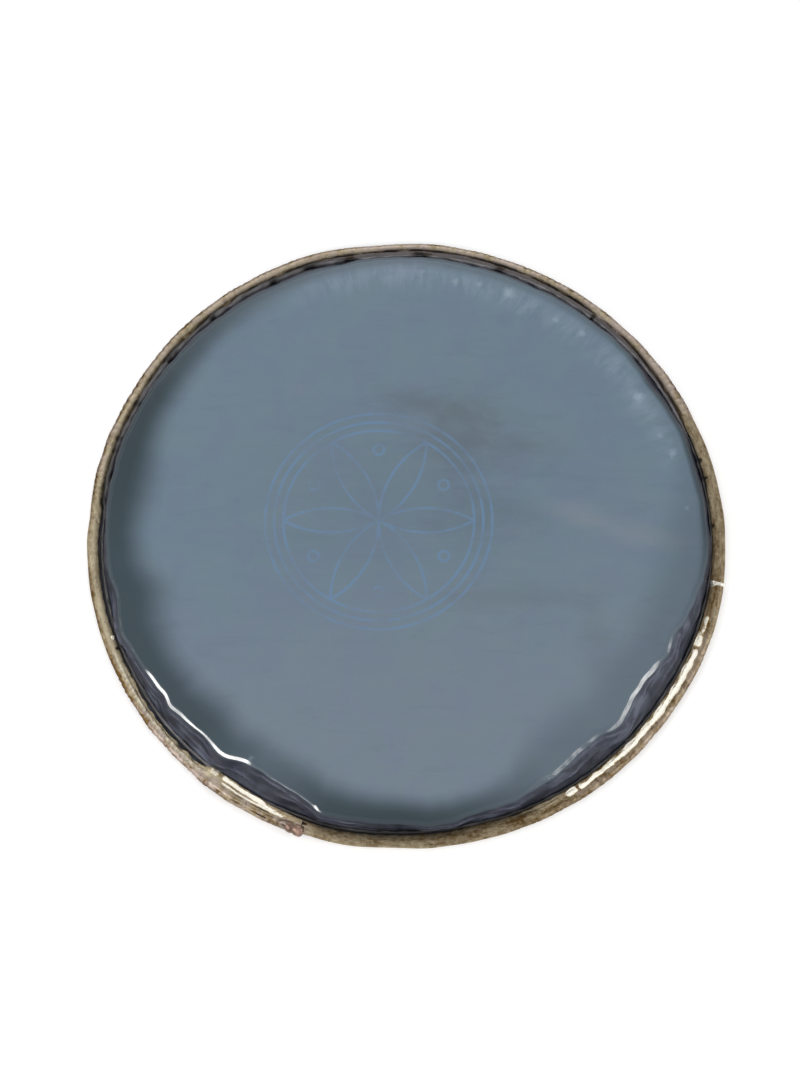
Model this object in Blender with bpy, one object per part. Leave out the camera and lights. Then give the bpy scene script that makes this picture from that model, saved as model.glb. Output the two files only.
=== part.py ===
"""A loose head for a goblet hand drum, as an assembly of its separate pieces.

A heat-formed plastic film has a flat playing face, a pleated collar and a flange round its foot. A brass
strip is folded round a core wire, and its two lips grip the flange. The strip is in two lengths: the end of
the long one is opened as a socket over the end of the short one, and their other ends meet in a brazed butt
joint.

Lengths are in metres and +Z is up. The playing face looks up, the head's axis is Z, and z = 0 is the plane
that the hoop rests on. Angles are in degrees, counter-clockwise from +X seen from above.
"""

import math

import bmesh
import bpy
import numpy as np

MM = 0.001

# Hoop: a strip folded round a wire
HOOP_RADIUS = 110.0 * MM
WIRE_RADIUS = 0.9 * MM
STRIP_THICKNESS = 0.4 * MM
LIP_LENGTH = 1.3 * MM
SEAT_GAP = 0.3 * MM

# Joints along the hoop
LAP_START = 232.5
LAP_END = 251.3
SWAGE_SPAN = 3.0
FLARE_SPAN = 1.5
RUN_OUT_SPAN = 9.0
LAP_FLARE = 0.7 * MM
FLARE_SIDE = 20.0
BUTT_ANGLE = 350.6
BUTT_GAP = 0.4 * MM
WIRE_JOINT_ANGLE = 75.0
TACK_ANGLE = 200.3

# Film
FILM_THICKNESS = 0.3 * MM
COLLAR_HEIGHT = 7.8 * MM
COLLAR_LEAN = 2.0 * MM
EDGE_FILLET = 1.5 * MM
FOOT_FILLET = 0.8 * MM
PLEAT_COUNT = 28
PLEAT_DEPTH = 0.6 * MM
SCALLOP_DEPTH = 0.25 * MM
TUCK_DEPTH = 3.8 * MM
LAP_TUCK_ANGLE = 236.0
LAP_TUCK_SPAN = 16.0
SIDE_TUCK_ANGLE = 319.5
SIDE_TUCK_SPAN = 22.0

# Resin in the corner between the collar and the strip
BEAD_WIDTH = 0.75 * MM
BEAD_HEIGHT = 0.9 * MM

# Brazing
BRAZE_WIDTH = 2.2 * MM
BRAZE_THICKNESS = 0.5 * MM
BRAZE_BOTTOM = -20.0
LAP_BRAZE_TOP = 100.0
BUTT_BRAZE_TOP = 135.0
TACK_RADIUS = 0.6 * MM
TACK_HEIGHT = 0.5 * MM

# Facets
STATIONS_PER_PLEAT = 4
LEAST_STEP = 0.4
OUTER_FACET = 22.5
INNER_FACET = 45.0
ARC_LIMIT = 135.0
WIRE_SIDES = 8
EDGE_STEPS = 3
WALL_STEPS = 3
FOOT_STEPS = 2
BRAZE_STEPS = 7
DOME_SIDES = 12
DOME_STEPS = 3
DOME_LIMIT = 75.0
FOLD_CREASE = 35.0
ROUND_CREASE = 60.0

# Sizes that follow
BORE_RADIUS = WIRE_RADIUS + SEAT_GAP
BEAD_RADIUS = BORE_RADIUS + STRIP_THICKNESS
SOCKET_BORE = BEAD_RADIUS + SEAT_GAP
SOCKET_RADIUS = SOCKET_BORE + STRIP_THICKNESS
MOUTH = FILM_THICKNESS / 2 + SEAT_GAP
LIP_TOP = MOUTH + STRIP_THICKNESS
SOCKET_MOUTH = LIP_TOP + SEAT_GAP
HOOP_AXIS = HOOP_RADIUS - BEAD_RADIUS
LIP_REACH = math.sqrt(BEAD_RADIUS**2 - LIP_TOP**2) + LIP_LENGTH
LIP_EDGE = HOOP_AXIS - LIP_REACH
FLAT_SHARE = math.cos(math.radians(OUTER_FACET / 2))
REST_HEIGHT = BEAD_RADIUS * FLAT_SHARE
FLANGE_EDGE = HOOP_AXIS - WIRE_RADIUS - SEAT_GAP
RESIN_OUTER = LIP_EDGE - SEAT_GAP
RESIN_INNER = RESIN_OUTER - BEAD_WIDTH
COLLAR_FOOT = RESIN_INNER - SEAT_GAP - FILM_THICKNESS / 2
CROWN_RADIUS = COLLAR_FOOT - COLLAR_LEAN
CROWN_MIDDLE = REST_HEIGHT + COLLAR_HEIGHT
STATION_STEP = 360.0 / (PLEAT_COUNT * STATIONS_PER_PLEAT)

MATERIALS = {
    "film": ((0.150, 0.205, 0.260), 0.22, 0.0),
    "brass": ((0.330, 0.245, 0.160), 0.38, 1.0),
    "steel": ((0.420, 0.420, 0.430), 0.45, 1.0),
    "resin": ((0.012, 0.012, 0.016), 0.40, 0.0),
    "silver_braze": ((0.640, 0.610, 0.560), 0.25, 1.0),
    "copper_braze": ((0.620, 0.330, 0.240), 0.30, 1.0),
}


def clear_scene():
    for item in list(bpy.data.objects):
        bpy.data.objects.remove(item, do_unlink=True)


def make_material(name):
    colour, roughness, metallic = MATERIALS[name]
    material = bpy.data.materials.new(name)
    material.use_nodes = True
    shader = material.node_tree.nodes["Principled BSDF"]
    shader.inputs["Base Color"].default_value = (*colour, 1.0)
    shader.inputs["Roughness"].default_value = roughness
    shader.inputs["Metallic"].default_value = metallic
    material.diffuse_color = (*colour, 1.0)
    return material


def smooth_step(x):
    x = min(max(x, 0.0), 1.0)
    return x * x * (3.0 - 2.0 * x)


def arc_angle(length, radius=HOOP_AXIS):
    """The angle in degrees that an arc of this length takes."""
    return math.degrees(length / radius)


def socket_share(angle):
    """How far the long strip is opened at an angle: 0 is a plain fold, and 1 is the full socket."""
    return smooth_step((angle - LAP_START + SWAGE_SPAN) / SWAGE_SPAN)


def flare_share(angle):
    """How far the socket's last stretch is curled outwards."""
    return smooth_step((angle - LAP_END + FLARE_SPAN) / FLARE_SPAN)


def axis_height(angle):
    """Height of the hoop's centre line. The socket is thicker than the plain fold and still rests on z = 0,
    so the line climbs where the socket opens, and runs out again past its end."""
    climb = (SOCKET_RADIUS - BEAD_RADIUS) * FLAT_SHARE
    past = smooth_step((angle - LAP_END) / RUN_OUT_SPAN)
    return REST_HEIGHT + climb * socket_share(angle) * (1.0 - past)


def stations(start, end):
    """Angles from start to end in even steps, with those where the hoop's centre line bends."""
    bends = [
        LAP_START - SWAGE_SPAN,
        LAP_START - SWAGE_SPAN / 2,
        LAP_START,
        LAP_END - FLARE_SPAN,
        LAP_END,
    ]
    bends += [bend + 360.0 for bend in bends] + [bend - 360.0 for bend in bends]
    count = math.floor(end / STATION_STEP)
    even = [STATION_STEP * i for i in range(math.ceil(start / STATION_STEP), count + 1)]
    kept = [a for a in even if all(abs(a - bend) > LEAST_STEP for bend in bends)]
    inside = [a for a in kept + bends if start + LEAST_STEP < a < end - LEAST_STEP]
    return [start] + sorted(inside) + [end]


def place(angle, radius, height):
    turn = math.radians(angle)
    return (radius * math.cos(turn), radius * math.sin(turn), height)


def finish(name, mesh, material, crease=FOLD_CREASE):
    """Makes the object of a bmesh, with its faces outwards and sharp only where they turn past the crease."""
    bmesh.ops.recalc_face_normals(mesh, faces=mesh.faces[:])
    data = bpy.data.meshes.new(name)
    mesh.to_mesh(data)
    mesh.free()
    data.shade_smooth()
    data.set_sharp_from_angle(angle=math.radians(crease))
    data.materials.append(material)
    item = bpy.data.objects.new(name, data)
    bpy.context.collection.objects.link(item)
    return item


def join_rings(mesh, rings, ends_meet):
    """Bridges each ring of vertices to the next, and the last to the first where the ends meet."""
    pairs = list(zip(rings, rings[1:]))
    if ends_meet:
        pairs.append((rings[-1], rings[0]))
    for one, two in pairs:
        for i, vert in enumerate(one):
            j = (i + 1) % len(one)
            mesh.faces.new((vert, one[j], two[j], two[i]))


def sweep(name, material, angles, section, ends_meet=False, crease=FOLD_CREASE):
    """Sweeps a section round the head. section(angle) gives its corners as radii and heights."""
    mesh = bmesh.new()
    rings = []
    for angle in angles:
        corners = section(angle)
        rings.append([mesh.verts.new(place(angle, *corner)) for corner in corners])
    join_rings(mesh, rings, ends_meet)
    if not ends_meet:
        mesh.faces.new(rings[0])
        mesh.faces.new(rings[-1])
    return finish(name, mesh, material, crease)


def on_arc(angle, radius):
    """A point on a circle in the section, whose angle runs from the outward direction towards +Z."""
    turn = math.radians(angle)
    return (radius * math.cos(turn), radius * math.sin(turn))


def arc_points(facet, radius, flare):
    """The corners of a circle's facets, from over the centre line to under it. Its top and bottom facets
    lie flat. flare curls the outward side away from the centre."""
    count = int(ARC_LIMIT / facet)
    turns = [facet * (i + 0.5) for i in range(count - 1, -count - 1, -1)]
    curled = [radius + flare * max(0.0, math.cos(math.radians(t - FLARE_SIDE))) for t in turns]
    return [on_arc(t, r) for t, r in zip(turns, curled)]


def fold_section(opened, flare=0.0):
    """The folded strip as a C about the hoop's centre line, with a bead round the wire and two flat lips.
    opened is 0 for the plain fold and 1 for the socket."""
    bore = BORE_RADIUS + opened * (SOCKET_BORE - BORE_RADIUS)
    mouth = MOUTH + opened * (SOCKET_MOUTH - MOUTH)
    outside = bore + STRIP_THICKNESS
    top = mouth + STRIP_THICKNESS
    outer_root = -math.sqrt(outside**2 - top**2)
    inner_root = -math.sqrt(bore**2 - mouth**2)
    outer = arc_points(OUTER_FACET, outside, flare)
    inner = arc_points(INNER_FACET, bore, flare)
    corners = [(-LIP_REACH, top), (outer_root, top)]
    corners += outer
    corners += [(outer_root, -top), (-LIP_REACH, -top), (-LIP_REACH, -mouth), (inner_root, -mouth)]
    corners += inner[::-1]
    corners += [(inner_root, mouth), (-LIP_REACH, mouth)]
    return corners


def about_axis(corners, angle):
    """Moves section corners from the hoop's centre line to radii and heights."""
    height = axis_height(angle)
    return [(HOOP_AXIS + x, height + y) for x, y in corners]


def long_strip(material):
    """The longer strip. Its last stretch is swaged open as a socket, and its end curls outwards."""
    start = BUTT_ANGLE - 360.0 + arc_angle(BUTT_GAP / 2)

    def section(angle):
        flare = LAP_FLARE * flare_share(angle)
        return about_axis(fold_section(socket_share(angle), flare), angle)

    return sweep("rim_strip_long", material, stations(start, LAP_END), section)


def short_strip(material):
    """The shorter strip, which starts inside the socket and ends at the butt joint."""
    end = BUTT_ANGLE - arc_angle(BUTT_GAP / 2)

    def section(angle):
        return about_axis(fold_section(0.0), angle)

    return sweep("rim_strip_short", material, stations(LAP_START, end), section)


def core_wire(material):
    """The round wire inside the fold, with its cut ends face to face."""
    half = arc_angle(SEAT_GAP / 2)
    angles = stations(WIRE_JOINT_ANGLE + half, WIRE_JOINT_ANGLE + 360.0 - half)
    corners = [on_arc(360.0 * i / WIRE_SIDES, WIRE_RADIUS) for i in range(WIRE_SIDES)]

    def section(angle):
        return about_axis(corners, angle % 360.0)

    return sweep("core_wire", material, angles, section, crease=ROUND_CREASE)


def resin_bead(material):
    """The resin that fills the corner over the flange, between the collar and the strip's lip."""
    under = FILM_THICKNESS / 2 + SEAT_GAP
    over = under + BEAD_HEIGHT
    chamfer = FOOT_FILLET / 2

    def section(angle):
        base = axis_height(angle)
        return [
            (RESIN_OUTER, base + under),
            (RESIN_OUTER, base + over - SEAT_GAP),
            ((RESIN_OUTER + RESIN_INNER) / 2, base + over),
            (RESIN_INNER, base + over - SEAT_GAP),
            (RESIN_INNER, base + under + chamfer),
            (RESIN_INNER + chamfer, base + under),
        ]

    return sweep("resin_bead", material, stations(0.0, 360.0)[:-1], section, ends_meet=True)


def tuck_share(angle, middle, span):
    """1 in the middle of a tuck and 0 away from it, with a flat top. span is its width to either side."""
    away = (angle - middle + 180.0) % 360.0 - 180.0
    return math.exp(-((away / span) ** 4))


def crown_edge(angle):
    """Radius of the playing face's edge. It is drawn in over the two tucks and scalloped by the pleats."""
    tucks = tuck_share(angle, LAP_TUCK_ANGLE, LAP_TUCK_SPAN)
    tucks += tuck_share(angle, SIDE_TUCK_ANGLE, SIDE_TUCK_SPAN)
    wave = math.cos(math.radians(PLEAT_COUNT * angle))
    return CROWN_RADIUS - TUCK_DEPTH * tucks + SCALLOP_DEPTH * wave


def film_profile(angle):
    """The film's middle line from the playing face's edge to the flange's rim, as points with their normals.
    The wall is the line that touches both fillets."""
    edge = np.array([crown_edge(angle) - EDGE_FILLET, CROWN_MIDDLE - EDGE_FILLET])
    foot = np.array([COLLAR_FOOT + FOOT_FILLET, axis_height(angle) + FOOT_FILLET])
    across = foot - edge
    lean = math.atan2(across[1], across[0]) + math.acos((EDGE_FILLET + FOOT_FILLET) / np.hypot(*across))
    turns = np.linspace(math.pi / 2, lean, EDGE_STEPS + 1)
    normals = [np.array([math.cos(t), math.sin(t)]) for t in turns]
    points = [edge + EDGE_FILLET * n for n in normals]
    wall_normal = normals[-1]
    top = points[-1]
    bottom = foot - FOOT_FILLET * wall_normal
    pleat = PLEAT_DEPTH * math.cos(math.radians(PLEAT_COUNT * angle))
    for i in range(1, WALL_STEPS):
        share = i / WALL_STEPS
        bulge = np.array([pleat * math.sin(math.pi * share), 0.0])
        points.append(top + share * (bottom - top) + bulge)
        normals.append(wall_normal)
    for turn in np.linspace(lean, math.pi / 2, FOOT_STEPS + 1):
        normal = np.array([math.cos(turn), math.sin(turn)])
        points.append(foot - FOOT_FILLET * normal)
        normals.append(normal)
    points.append(np.array([FLANGE_EDGE, axis_height(angle)]))
    normals.append(np.array([0.0, 1.0]))
    return points, normals


def drum_film(material):
    """The film: playing face, rounded edge, pleated collar, and the flange that the strip grips."""
    mesh = bmesh.new()
    rings = []
    for angle in stations(0.0, 360.0)[:-1]:
        points, normals = film_profile(angle)
        half = FILM_THICKNESS / 2
        upper = [p + half * n for p, n in zip(points, normals)]
        lower = [p - half * n for p, n in zip(points, normals)]
        rings.append([mesh.verts.new(place(angle, *p)) for p in upper + lower[::-1]])
    last = len(rings[0]) - 1
    for one, two in zip(rings, rings[1:] + rings[:1]):
        for i in range(last):
            mesh.faces.new((one[i], one[i + 1], two[i + 1], two[i]))
    mesh.faces.new([ring[0] for ring in rings])
    mesh.faces.new([ring[last] for ring in rings])
    return finish("drum_film", mesh, material, crease=ROUND_CREASE)


def braze_saddle(name, material, start, end, first, last, heights):
    """A saddle of braze over the plain fold. first and last are its edges round the bead, and heights its
    thickness at the start, middle and end of its length."""
    turns = np.linspace(first, last, BRAZE_STEPS + 1)
    seat = BEAD_RADIUS + SEAT_GAP

    def section(angle):
        crest = float(np.interp(angle, np.linspace(start, end, len(heights)), heights))
        inner = [on_arc(t, seat) for t in turns]
        outer = [on_arc(t, seat + crest) for t in turns[::-1]]
        return about_axis(inner + outer, angle % 360.0)

    angles = np.linspace(start, end, 2 * len(heights) - 1)
    return sweep(name, material, angles, section)


def lap_braze(material):
    """Copper-coloured braze against the socket's end, on the outward and upper side of the short strip."""
    start = LAP_END + arc_angle(SEAT_GAP)
    end = start + arc_angle(BRAZE_WIDTH)
    heights = (BRAZE_THICKNESS, BRAZE_THICKNESS, BRAZE_THICKNESS / 2)
    return braze_saddle("lap_braze", material, start, end, BRAZE_BOTTOM, LAP_BRAZE_TOP, heights)


def butt_braze(material):
    """Bright braze across the butt joint, from the hoop's outward side to the crease over the lip."""
    half = arc_angle(BRAZE_WIDTH / 2)
    heights = (BRAZE_THICKNESS / 2, BRAZE_THICKNESS, BRAZE_THICKNESS / 2)
    ends = (BUTT_ANGLE - half, BUTT_ANGLE + half)
    return braze_saddle("butt_braze", material, *ends, BRAZE_BOTTOM, BUTT_BRAZE_TOP, heights)


def tack_braze(material):
    """A drop of braze on the upper lip."""
    mesh = bmesh.new()
    middle = LIP_EDGE + TACK_RADIUS
    base = axis_height(TACK_ANGLE) + LIP_TOP + SEAT_GAP
    rings = []
    for lift in np.linspace(0.0, DOME_LIMIT, DOME_STEPS + 1):
        radius, height = on_arc(lift, 1.0)
        ring = []
        for i in range(DOME_SIDES):
            x, y = on_arc(360.0 * i / DOME_SIDES, TACK_RADIUS * radius)
            reach = middle + x
            ring.append(mesh.verts.new(place(TACK_ANGLE + arc_angle(y), reach, base + TACK_HEIGHT * height)))
        rings.append(ring)
    join_rings(mesh, rings, ends_meet=False)
    mesh.faces.new(rings[0])
    mesh.faces.new(rings[-1])
    return finish("tack_braze", mesh, material)


def main():
    clear_scene()
    made = {name: make_material(name) for name in MATERIALS}
    drum_film(made["film"])
    core_wire(made["steel"])
    long_strip(made["brass"])
    short_strip(made["brass"])
    resin_bead(made["resin"])
    lap_braze(made["copper_braze"])
    butt_braze(made["silver_braze"])
    tack_braze(made["silver_braze"])


main()
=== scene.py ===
"""Looks of a loose hand drum head: film, folded brass hoop, resin, brazes and a small studio.

Lengths are in metres and +Z is up. Angles are in degrees, counter-clockwise from +X seen from above. Each
piece is a surface worked out on a grid: one direction runs round the head, the other round the piece's
section. Sections are drawn about the hoop's centre line, as a distance outwards and a height.
"""

import math

import bpy
import numpy as np
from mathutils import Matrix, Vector


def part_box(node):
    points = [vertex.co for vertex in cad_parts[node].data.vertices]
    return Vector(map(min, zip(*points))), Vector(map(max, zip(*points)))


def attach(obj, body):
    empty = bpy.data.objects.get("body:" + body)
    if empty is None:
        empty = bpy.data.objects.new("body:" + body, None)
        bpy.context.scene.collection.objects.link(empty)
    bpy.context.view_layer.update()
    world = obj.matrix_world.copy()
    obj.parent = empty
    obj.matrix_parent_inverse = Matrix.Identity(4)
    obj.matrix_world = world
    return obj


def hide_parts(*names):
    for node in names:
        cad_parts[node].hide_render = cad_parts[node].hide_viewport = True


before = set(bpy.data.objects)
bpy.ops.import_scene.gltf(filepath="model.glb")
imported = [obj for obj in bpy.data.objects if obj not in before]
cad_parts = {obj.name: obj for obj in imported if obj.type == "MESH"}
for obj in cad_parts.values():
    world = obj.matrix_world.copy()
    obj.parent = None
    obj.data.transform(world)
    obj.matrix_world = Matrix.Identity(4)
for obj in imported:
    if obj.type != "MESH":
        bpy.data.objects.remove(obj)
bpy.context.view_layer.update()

bl_info = {
    "name": "Hand drum head",
    "version": (1, 0, 0),
    "blender": (4, 5, 0),
    "location": "3D View > Sidebar > Drum head",
    "description": "Builds the film, hoop, resin, brazes and studio of a loose hand drum head",
    "category": "Add Mesh",
}

MM = 0.001

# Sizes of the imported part
WIRE_RADIUS = 0.9 * MM
STRIP_THICKNESS = 0.4 * MM
SEAT_GAP = 0.3 * MM
FILM_THICKNESS = 0.3 * MM
BORE_RADIUS = 1.2 * MM
BEAD_RADIUS = 1.6 * MM
SOCKET_BORE = 1.9 * MM
SOCKET_RADIUS = 2.3 * MM
MOUTH = 0.45 * MM
SOCKET_MOUTH = 1.15 * MM
LIP_REACH = 2.6555 * MM
HOOP_AXIS = 108.4 * MM
REST_HEIGHT = 1.5693 * MM
SOCKET_CLIMB = 0.6866 * MM
COLLAR_FOOT = 104.2445 * MM
FLANGE_EDGE = 107.2 * MM
FILM_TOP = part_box("drum_film")[1][2]
CROWN_MIDDLE = FILM_TOP - FILM_THICKNESS / 2
EDGE_FILLET = 1.5 * MM
FOOT_FILLET = 0.8 * MM
FLAT_SHARE = REST_HEIGHT / BEAD_RADIUS

# Places round the hoop
LAP_START = 232.5
LAP_END = 251.3
SWAGE_SPAN = 3
FLARE_SPAN = 1.5
RUN_OUT_SPAN = 9
BUTT_ANGLE = 350.6
WIRE_JOINT_ANGLE = 75
TACK_ANGLE = 200.3

# The hoop is bent by hand: waves round it, depth in millimetres, and where the first crest stands
HOOP_BENDS = ((2, 0.07, 1), (3, 0.43, -6), (6, 0.10, 1), (8, 0.11, -14))

# Short bends in the hoop: middle, span to either side, and how far it stands out, in millimetres
HOOP_DENTS = (
    (27, 10, -0.25), (71, 9, -0.15), (95, 5, -0.35), (107, 5, 0.35), (139, 9, 0.3), (176, 3.5, -0.45),
    (208, 7, -0.25), (258, 6, 0.25),
)

# The film's edge, as it was drawn in by hand: angle and radius, in millimetres
EDGE_POINTS = (
    (0, 103.6), (6.6, 103.2), (11, 102.4), (20.8, 102.6), (32.1, 100.6), (39.4, 101.7), (45.6, 101.3),
    (64.5, 100.7), (74, 100.9), (90, 101.8), (105, 101.4), (121.8, 101.7), (137.5, 102.1), (153, 102.7),
    (168, 102.8), (183.5, 102.4), (189.5, 102.1), (194, 100.9), (201.3, 103.4), (204.9, 102),
    (208.7, 101.7), (211.1, 101), (216, 100.7), (218.3, 101.6), (220.4, 100.6), (224.7, 100.2),
    (226.6, 99.4), (229.5, 100.3), (231.8, 101), (233.3, 100.9), (235.2, 99.2), (237.1, 98), (243.3, 98.7),
    (248.4, 99.7), (252.2, 101.7), (253.4, 103.3), (254.5, 103.6), (258.7, 103.2), (263, 102.9),
    (270, 102.9), (274.2, 103.6), (275.9, 103.9), (278.5, 103.3), (284.1, 102), (290.7, 101.9),
    (295.9, 101), (301, 100.1), (306.7, 98.3), (312.4, 98.1), (313.9, 99.8), (317.2, 100.2), (322, 98),
    (326.8, 97.8), (331.2, 99), (333.7, 100), (337.5, 99.1), (341.5, 101), (346.5, 102.1), (351.5, 103.7),
    (356.5, 103.9),
)

# Painted highlights: pale spots on the playing face where its ripples catch the light: angle, radius and
# size, in millimetres
HIGHLIGHT_SPOTS = (
    (4.5, 97, 1.2), (16.6, 96.5, 1.6), (21, 95, 1), (30.7, 94.5, 2.3), (49.5, 95, 1.7), (55.5, 94, 1.2),
    (67.4, 95, 2.3), (74, 94.5, 1.3), (79, 93.5, 1.5), (86.5, 95.5, 1.2), (237.5, 95.5, 1),
)

# Smears on the playing face, partly smudges and partly painted light: the pale ones are painted highlights
# and the dark ones over the middle partly a painted dim reflection. Columns: middle, half length along X and
# half width, in millimetres, then how much Y rises along X, how strong it is, and whether it is pale
SMEARS_AND_REFLECTIONS = (
    (10, 46, 24, 6, -0.14, 0.28, False), (19.5, 34, 19, 20, -0.1, 0.36, False),
    (34, 28, 22, 10, -0.1, 0.20, False), (29, 4, 22, 11, 0, 0.24, False), (-4, 12, 52, 34, 0, 0.13, False),
    (37, -24, 36, 6, 0.02, 0.20, False), (64, -38, 6.5, 17, 0, 0.15, False),
    (60, 5, 15, 5.5, -0.3, 0.36, True), (80, -2, 21, 5, -0.22, 0.30, True),
)


# Settings


def length_setting(name, description, default):
    return bpy.props.FloatProperty(
        name=name, description=description, default=default, min=0.0, unit="LENGTH", precision=5
    )


def colour_setting(name, description, default):
    return bpy.props.FloatVectorProperty(
        name=name, description=description, default=default, size=3, min=0.0, max=1.0, subtype="COLOR"
    )


def share_setting(name, description, default):
    return bpy.props.FloatProperty(
        name=name, description=description, default=default, min=0.0, max=1.0, subtype="FACTOR"
    )


def level_setting(name, description, default):
    return bpy.props.FloatProperty(name=name, description=description, default=default, min=0.0)


class FilmSettings(bpy.types.PropertyGroup):
    """Sizes and colours of the drum's film."""

    colour: colour_setting("Film", "Colour of the playing face", (0.142, 0.198, 0.252))
    blue: colour_setting("Bluer film", "Colour where the film is bluer", (0.134, 0.192, 0.256))
    low: colour_setting("Greyer film", "Colour of the film towards the near side", (0.168, 0.209, 0.261))
    shade: colour_setting("Edge shade", "Colour of the soft shade inside the edge", (0.024, 0.041, 0.051))
    # Painted reflection: the colour of the pale band painted inside the far edge
    haze: colour_setting("Edge haze", "Colour of the pale haze inside the far edge", (0.186, 0.246, 0.312))
    collar: colour_setting("Collar", "Colour of the pleated collar", (0.009, 0.012, 0.026))
    # Painted highlight: the colour painted on the ridges of the collar's creases
    ridge_highlight: colour_setting("Collar streaks", "Colour of the collar's worn streaks", (0.112, 0.122, 0.172))
    # Painted highlight: the colour painted along the crease at the film's edge
    gleam: colour_setting("Edge line", "Colour where the film's edge is creased white", (1.0, 1.0, 1.0))
    line: colour_setting("Ornament", "Colour of the printed lines", (0.125, 0.235, 0.400))
    ornament: length_setting("Ornament radius", "Radius of the printed ornament", 39.0 * MM)
    pleat: length_setting("Pleat depth", "How far the collar's pleats stand out", 0.6 * MM)
    scallop: length_setting("Scallop depth", "How far the pleats move the edge", 0.3 * MM)
    droop: length_setting("Edge droop", "How far the face bends down at its edge", 0.35 * MM)
    crease: length_setting("Edge crease", "Width of the flat crease along the tucked edge", 1.0 * MM)
    gloss: share_setting("Roughness", "Roughness of the film", 0.2)


class HoopSettings(bpy.types.PropertyGroup):
    """Sizes and colours of the folded strip and the wire in it."""

    # Tan and dull brass are mixed by a layer that holds painted light and shade as well as patina
    tan: colour_setting("Tan brass", "Colour of the lighter brass", (0.60, 0.520, 0.366))
    olive: colour_setting("Dull brass", "Colour of the dull brass", (0.126, 0.073, 0.024))
    # Painted highlights: the golden colour is their rim, and the rubbed colour below is their white core
    highlight_rim: colour_setting("Golden brass", "Colour at the rim of a rubbed place", (0.50, 0.36, 0.15))
    pink: colour_setting("Pink brass", "Colour where the brass is pink", (0.50, 0.420, 0.370))
    bright: colour_setting("Rubbed brass", "Colour where the brass is rubbed bright", (1.0, 0.96, 0.84))
    # The dark colour of dirt and painted shade in the creases, crimps, grooves and under the bead
    grime_and_shade: colour_setting("Grime", "Colour of the dirt in creases", (0.010, 0.009, 0.007))
    crimp: length_setting("Crimp depth", "Depth of the fine crimps", 0.07 * MM)
    crease: length_setting("Crease depth", "Depth of the crease beside the bead", 0.3 * MM)
    flare: length_setting("Socket flare", "How far the socket's end curls out", 0.7 * MM)


class JoinSettings(bpy.types.PropertyGroup):
    """Sizes and colours of the resin and the brazes."""

    resin: colour_setting("Resin", "Colour of the resin", (0.007, 0.006, 0.006))
    # Dust on the resin, and light painted on it against the collar's shade
    dust: colour_setting("Dusty resin", "Colour of the dusty resin", (0.066, 0.061, 0.060))
    silver: colour_setting("Silver braze", "Colour of the bright braze", (0.97, 0.93, 0.82))
    copper: colour_setting("Copper braze", "Colour of the copper-coloured braze", (0.47, 0.305, 0.235))
    resin_width: length_setting("Resin width", "Width of the resin", 0.9 * MM)
    braze: length_setting("Braze thickness", "Thickness of the brazes", 0.5 * MM)
    seam: length_setting("Seam width", "Width of the butt joint's seam at the lip", 2.6 * MM)


class StudioSettings(bpy.types.PropertyGroup):
    """The floor, the lights and the camera."""

    floor: colour_setting("Floor", "Colour of the floor", (0.76, 0.76, 0.76))
    world: level_setting("World level", "Strength of the even light", 0.53)
    left: level_setting("Left softbox", "Radiance of the softbox on the left", 8.5)
    right: level_setting("Right softbox", "Radiance of the softbox on the right", 5.0)
    back: level_setting("Back softbox", "Radiance of the softbox at the back", 2.6)
    distance: length_setting("Camera distance", "Distance from the head's middle", 1.0)
    tilt: bpy.props.FloatProperty(
        name="Camera tilt",
        description="Angle between the camera and the head's axis",
        default=math.radians(18.32),
        subtype="ANGLE",
    )


# Shapes


def clamp(x):
    """x kept between 0 and 1."""
    return np.clip(x, 0, 1)


def smooth_step(x):
    """Rises from 0 to 1 as x does, level at both ends: x squared times (3 - 2x)."""
    x = clamp(x)
    return x * x * (3.0 - 2.0 * x)


def away(angle, middle):
    """How far an angle is from another, from -180 to 180 degrees."""
    return (angle - middle + 180) % 360 - 180


def stretch(angle, start, end, soft=2):
    """1 between two angles and 0 outside them, with a step as wide as soft degrees at each end."""
    half = (end - start) / 2
    return smooth_step((half - np.abs(away(angle, start + half))) / soft + 0.5)


def stretches(angle, *rows):
    """A sum of stretches: each row is a share, the angles of its start and end, and how soft they are."""
    return sum(share * stretch(angle, start, end, soft) for share, start, end, soft in rows)


def between(rows, angle, column=1):
    """A column of rows that begin with their angle, joined by straight lines round the head."""
    rows = np.array(rows)
    return np.interp(angle, rows[:, 0], rows[:, column], period=360)


def hump(x, middle, width, power=2):
    """1 at the middle and 0 away from it: e to the minus (distance / width) to the given power."""
    return np.exp(-np.abs((x - middle) / width) ** power)


def spot(angle, middle, span):
    """A hump at an angle."""
    return hump(away(angle, middle), 0, span)


def wander(angle, seed, low, high, across=0, cross=0):
    """Noise that meets itself round the head: a sum of cosines of whole multiples of the angle, from low to
    high, with drawn weights and phases. Each also turns with across, by up to cross turns. Its mean square
    is 1."""
    draw = np.random.default_rng(seed)
    waves = np.arange(low, high + 1)
    weights = draw.normal(size=len(waves))
    phases = draw.uniform(0, 2 * np.pi, len(waves))
    turns = draw.uniform(-cross, cross, len(waves)) * 2 * np.pi
    total = np.zeros(np.broadcast(angle, across).shape)
    for wave, weight, phase, turn in zip(waves, weights, phases, turns):
        total += weight * np.cos(np.radians(angle * wave) + phase + turn * across)
    return total / np.sqrt(np.sum(weights**2) / 2)


def hoop_bend(angle):
    """How far the hand-bent hoop stands out from its circle: a sum of cosines, one for each row of
    HOOP_BENDS, and of humps, one for each row of HOOP_DENTS."""
    bend = sum(depth * np.cos(np.radians(waves * (angle - crest))) for waves, depth, crest in HOOP_BENDS)
    bend = bend + sum(depth * spot(angle, middle, span) for middle, span, depth in HOOP_DENTS)
    return bend * MM


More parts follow.
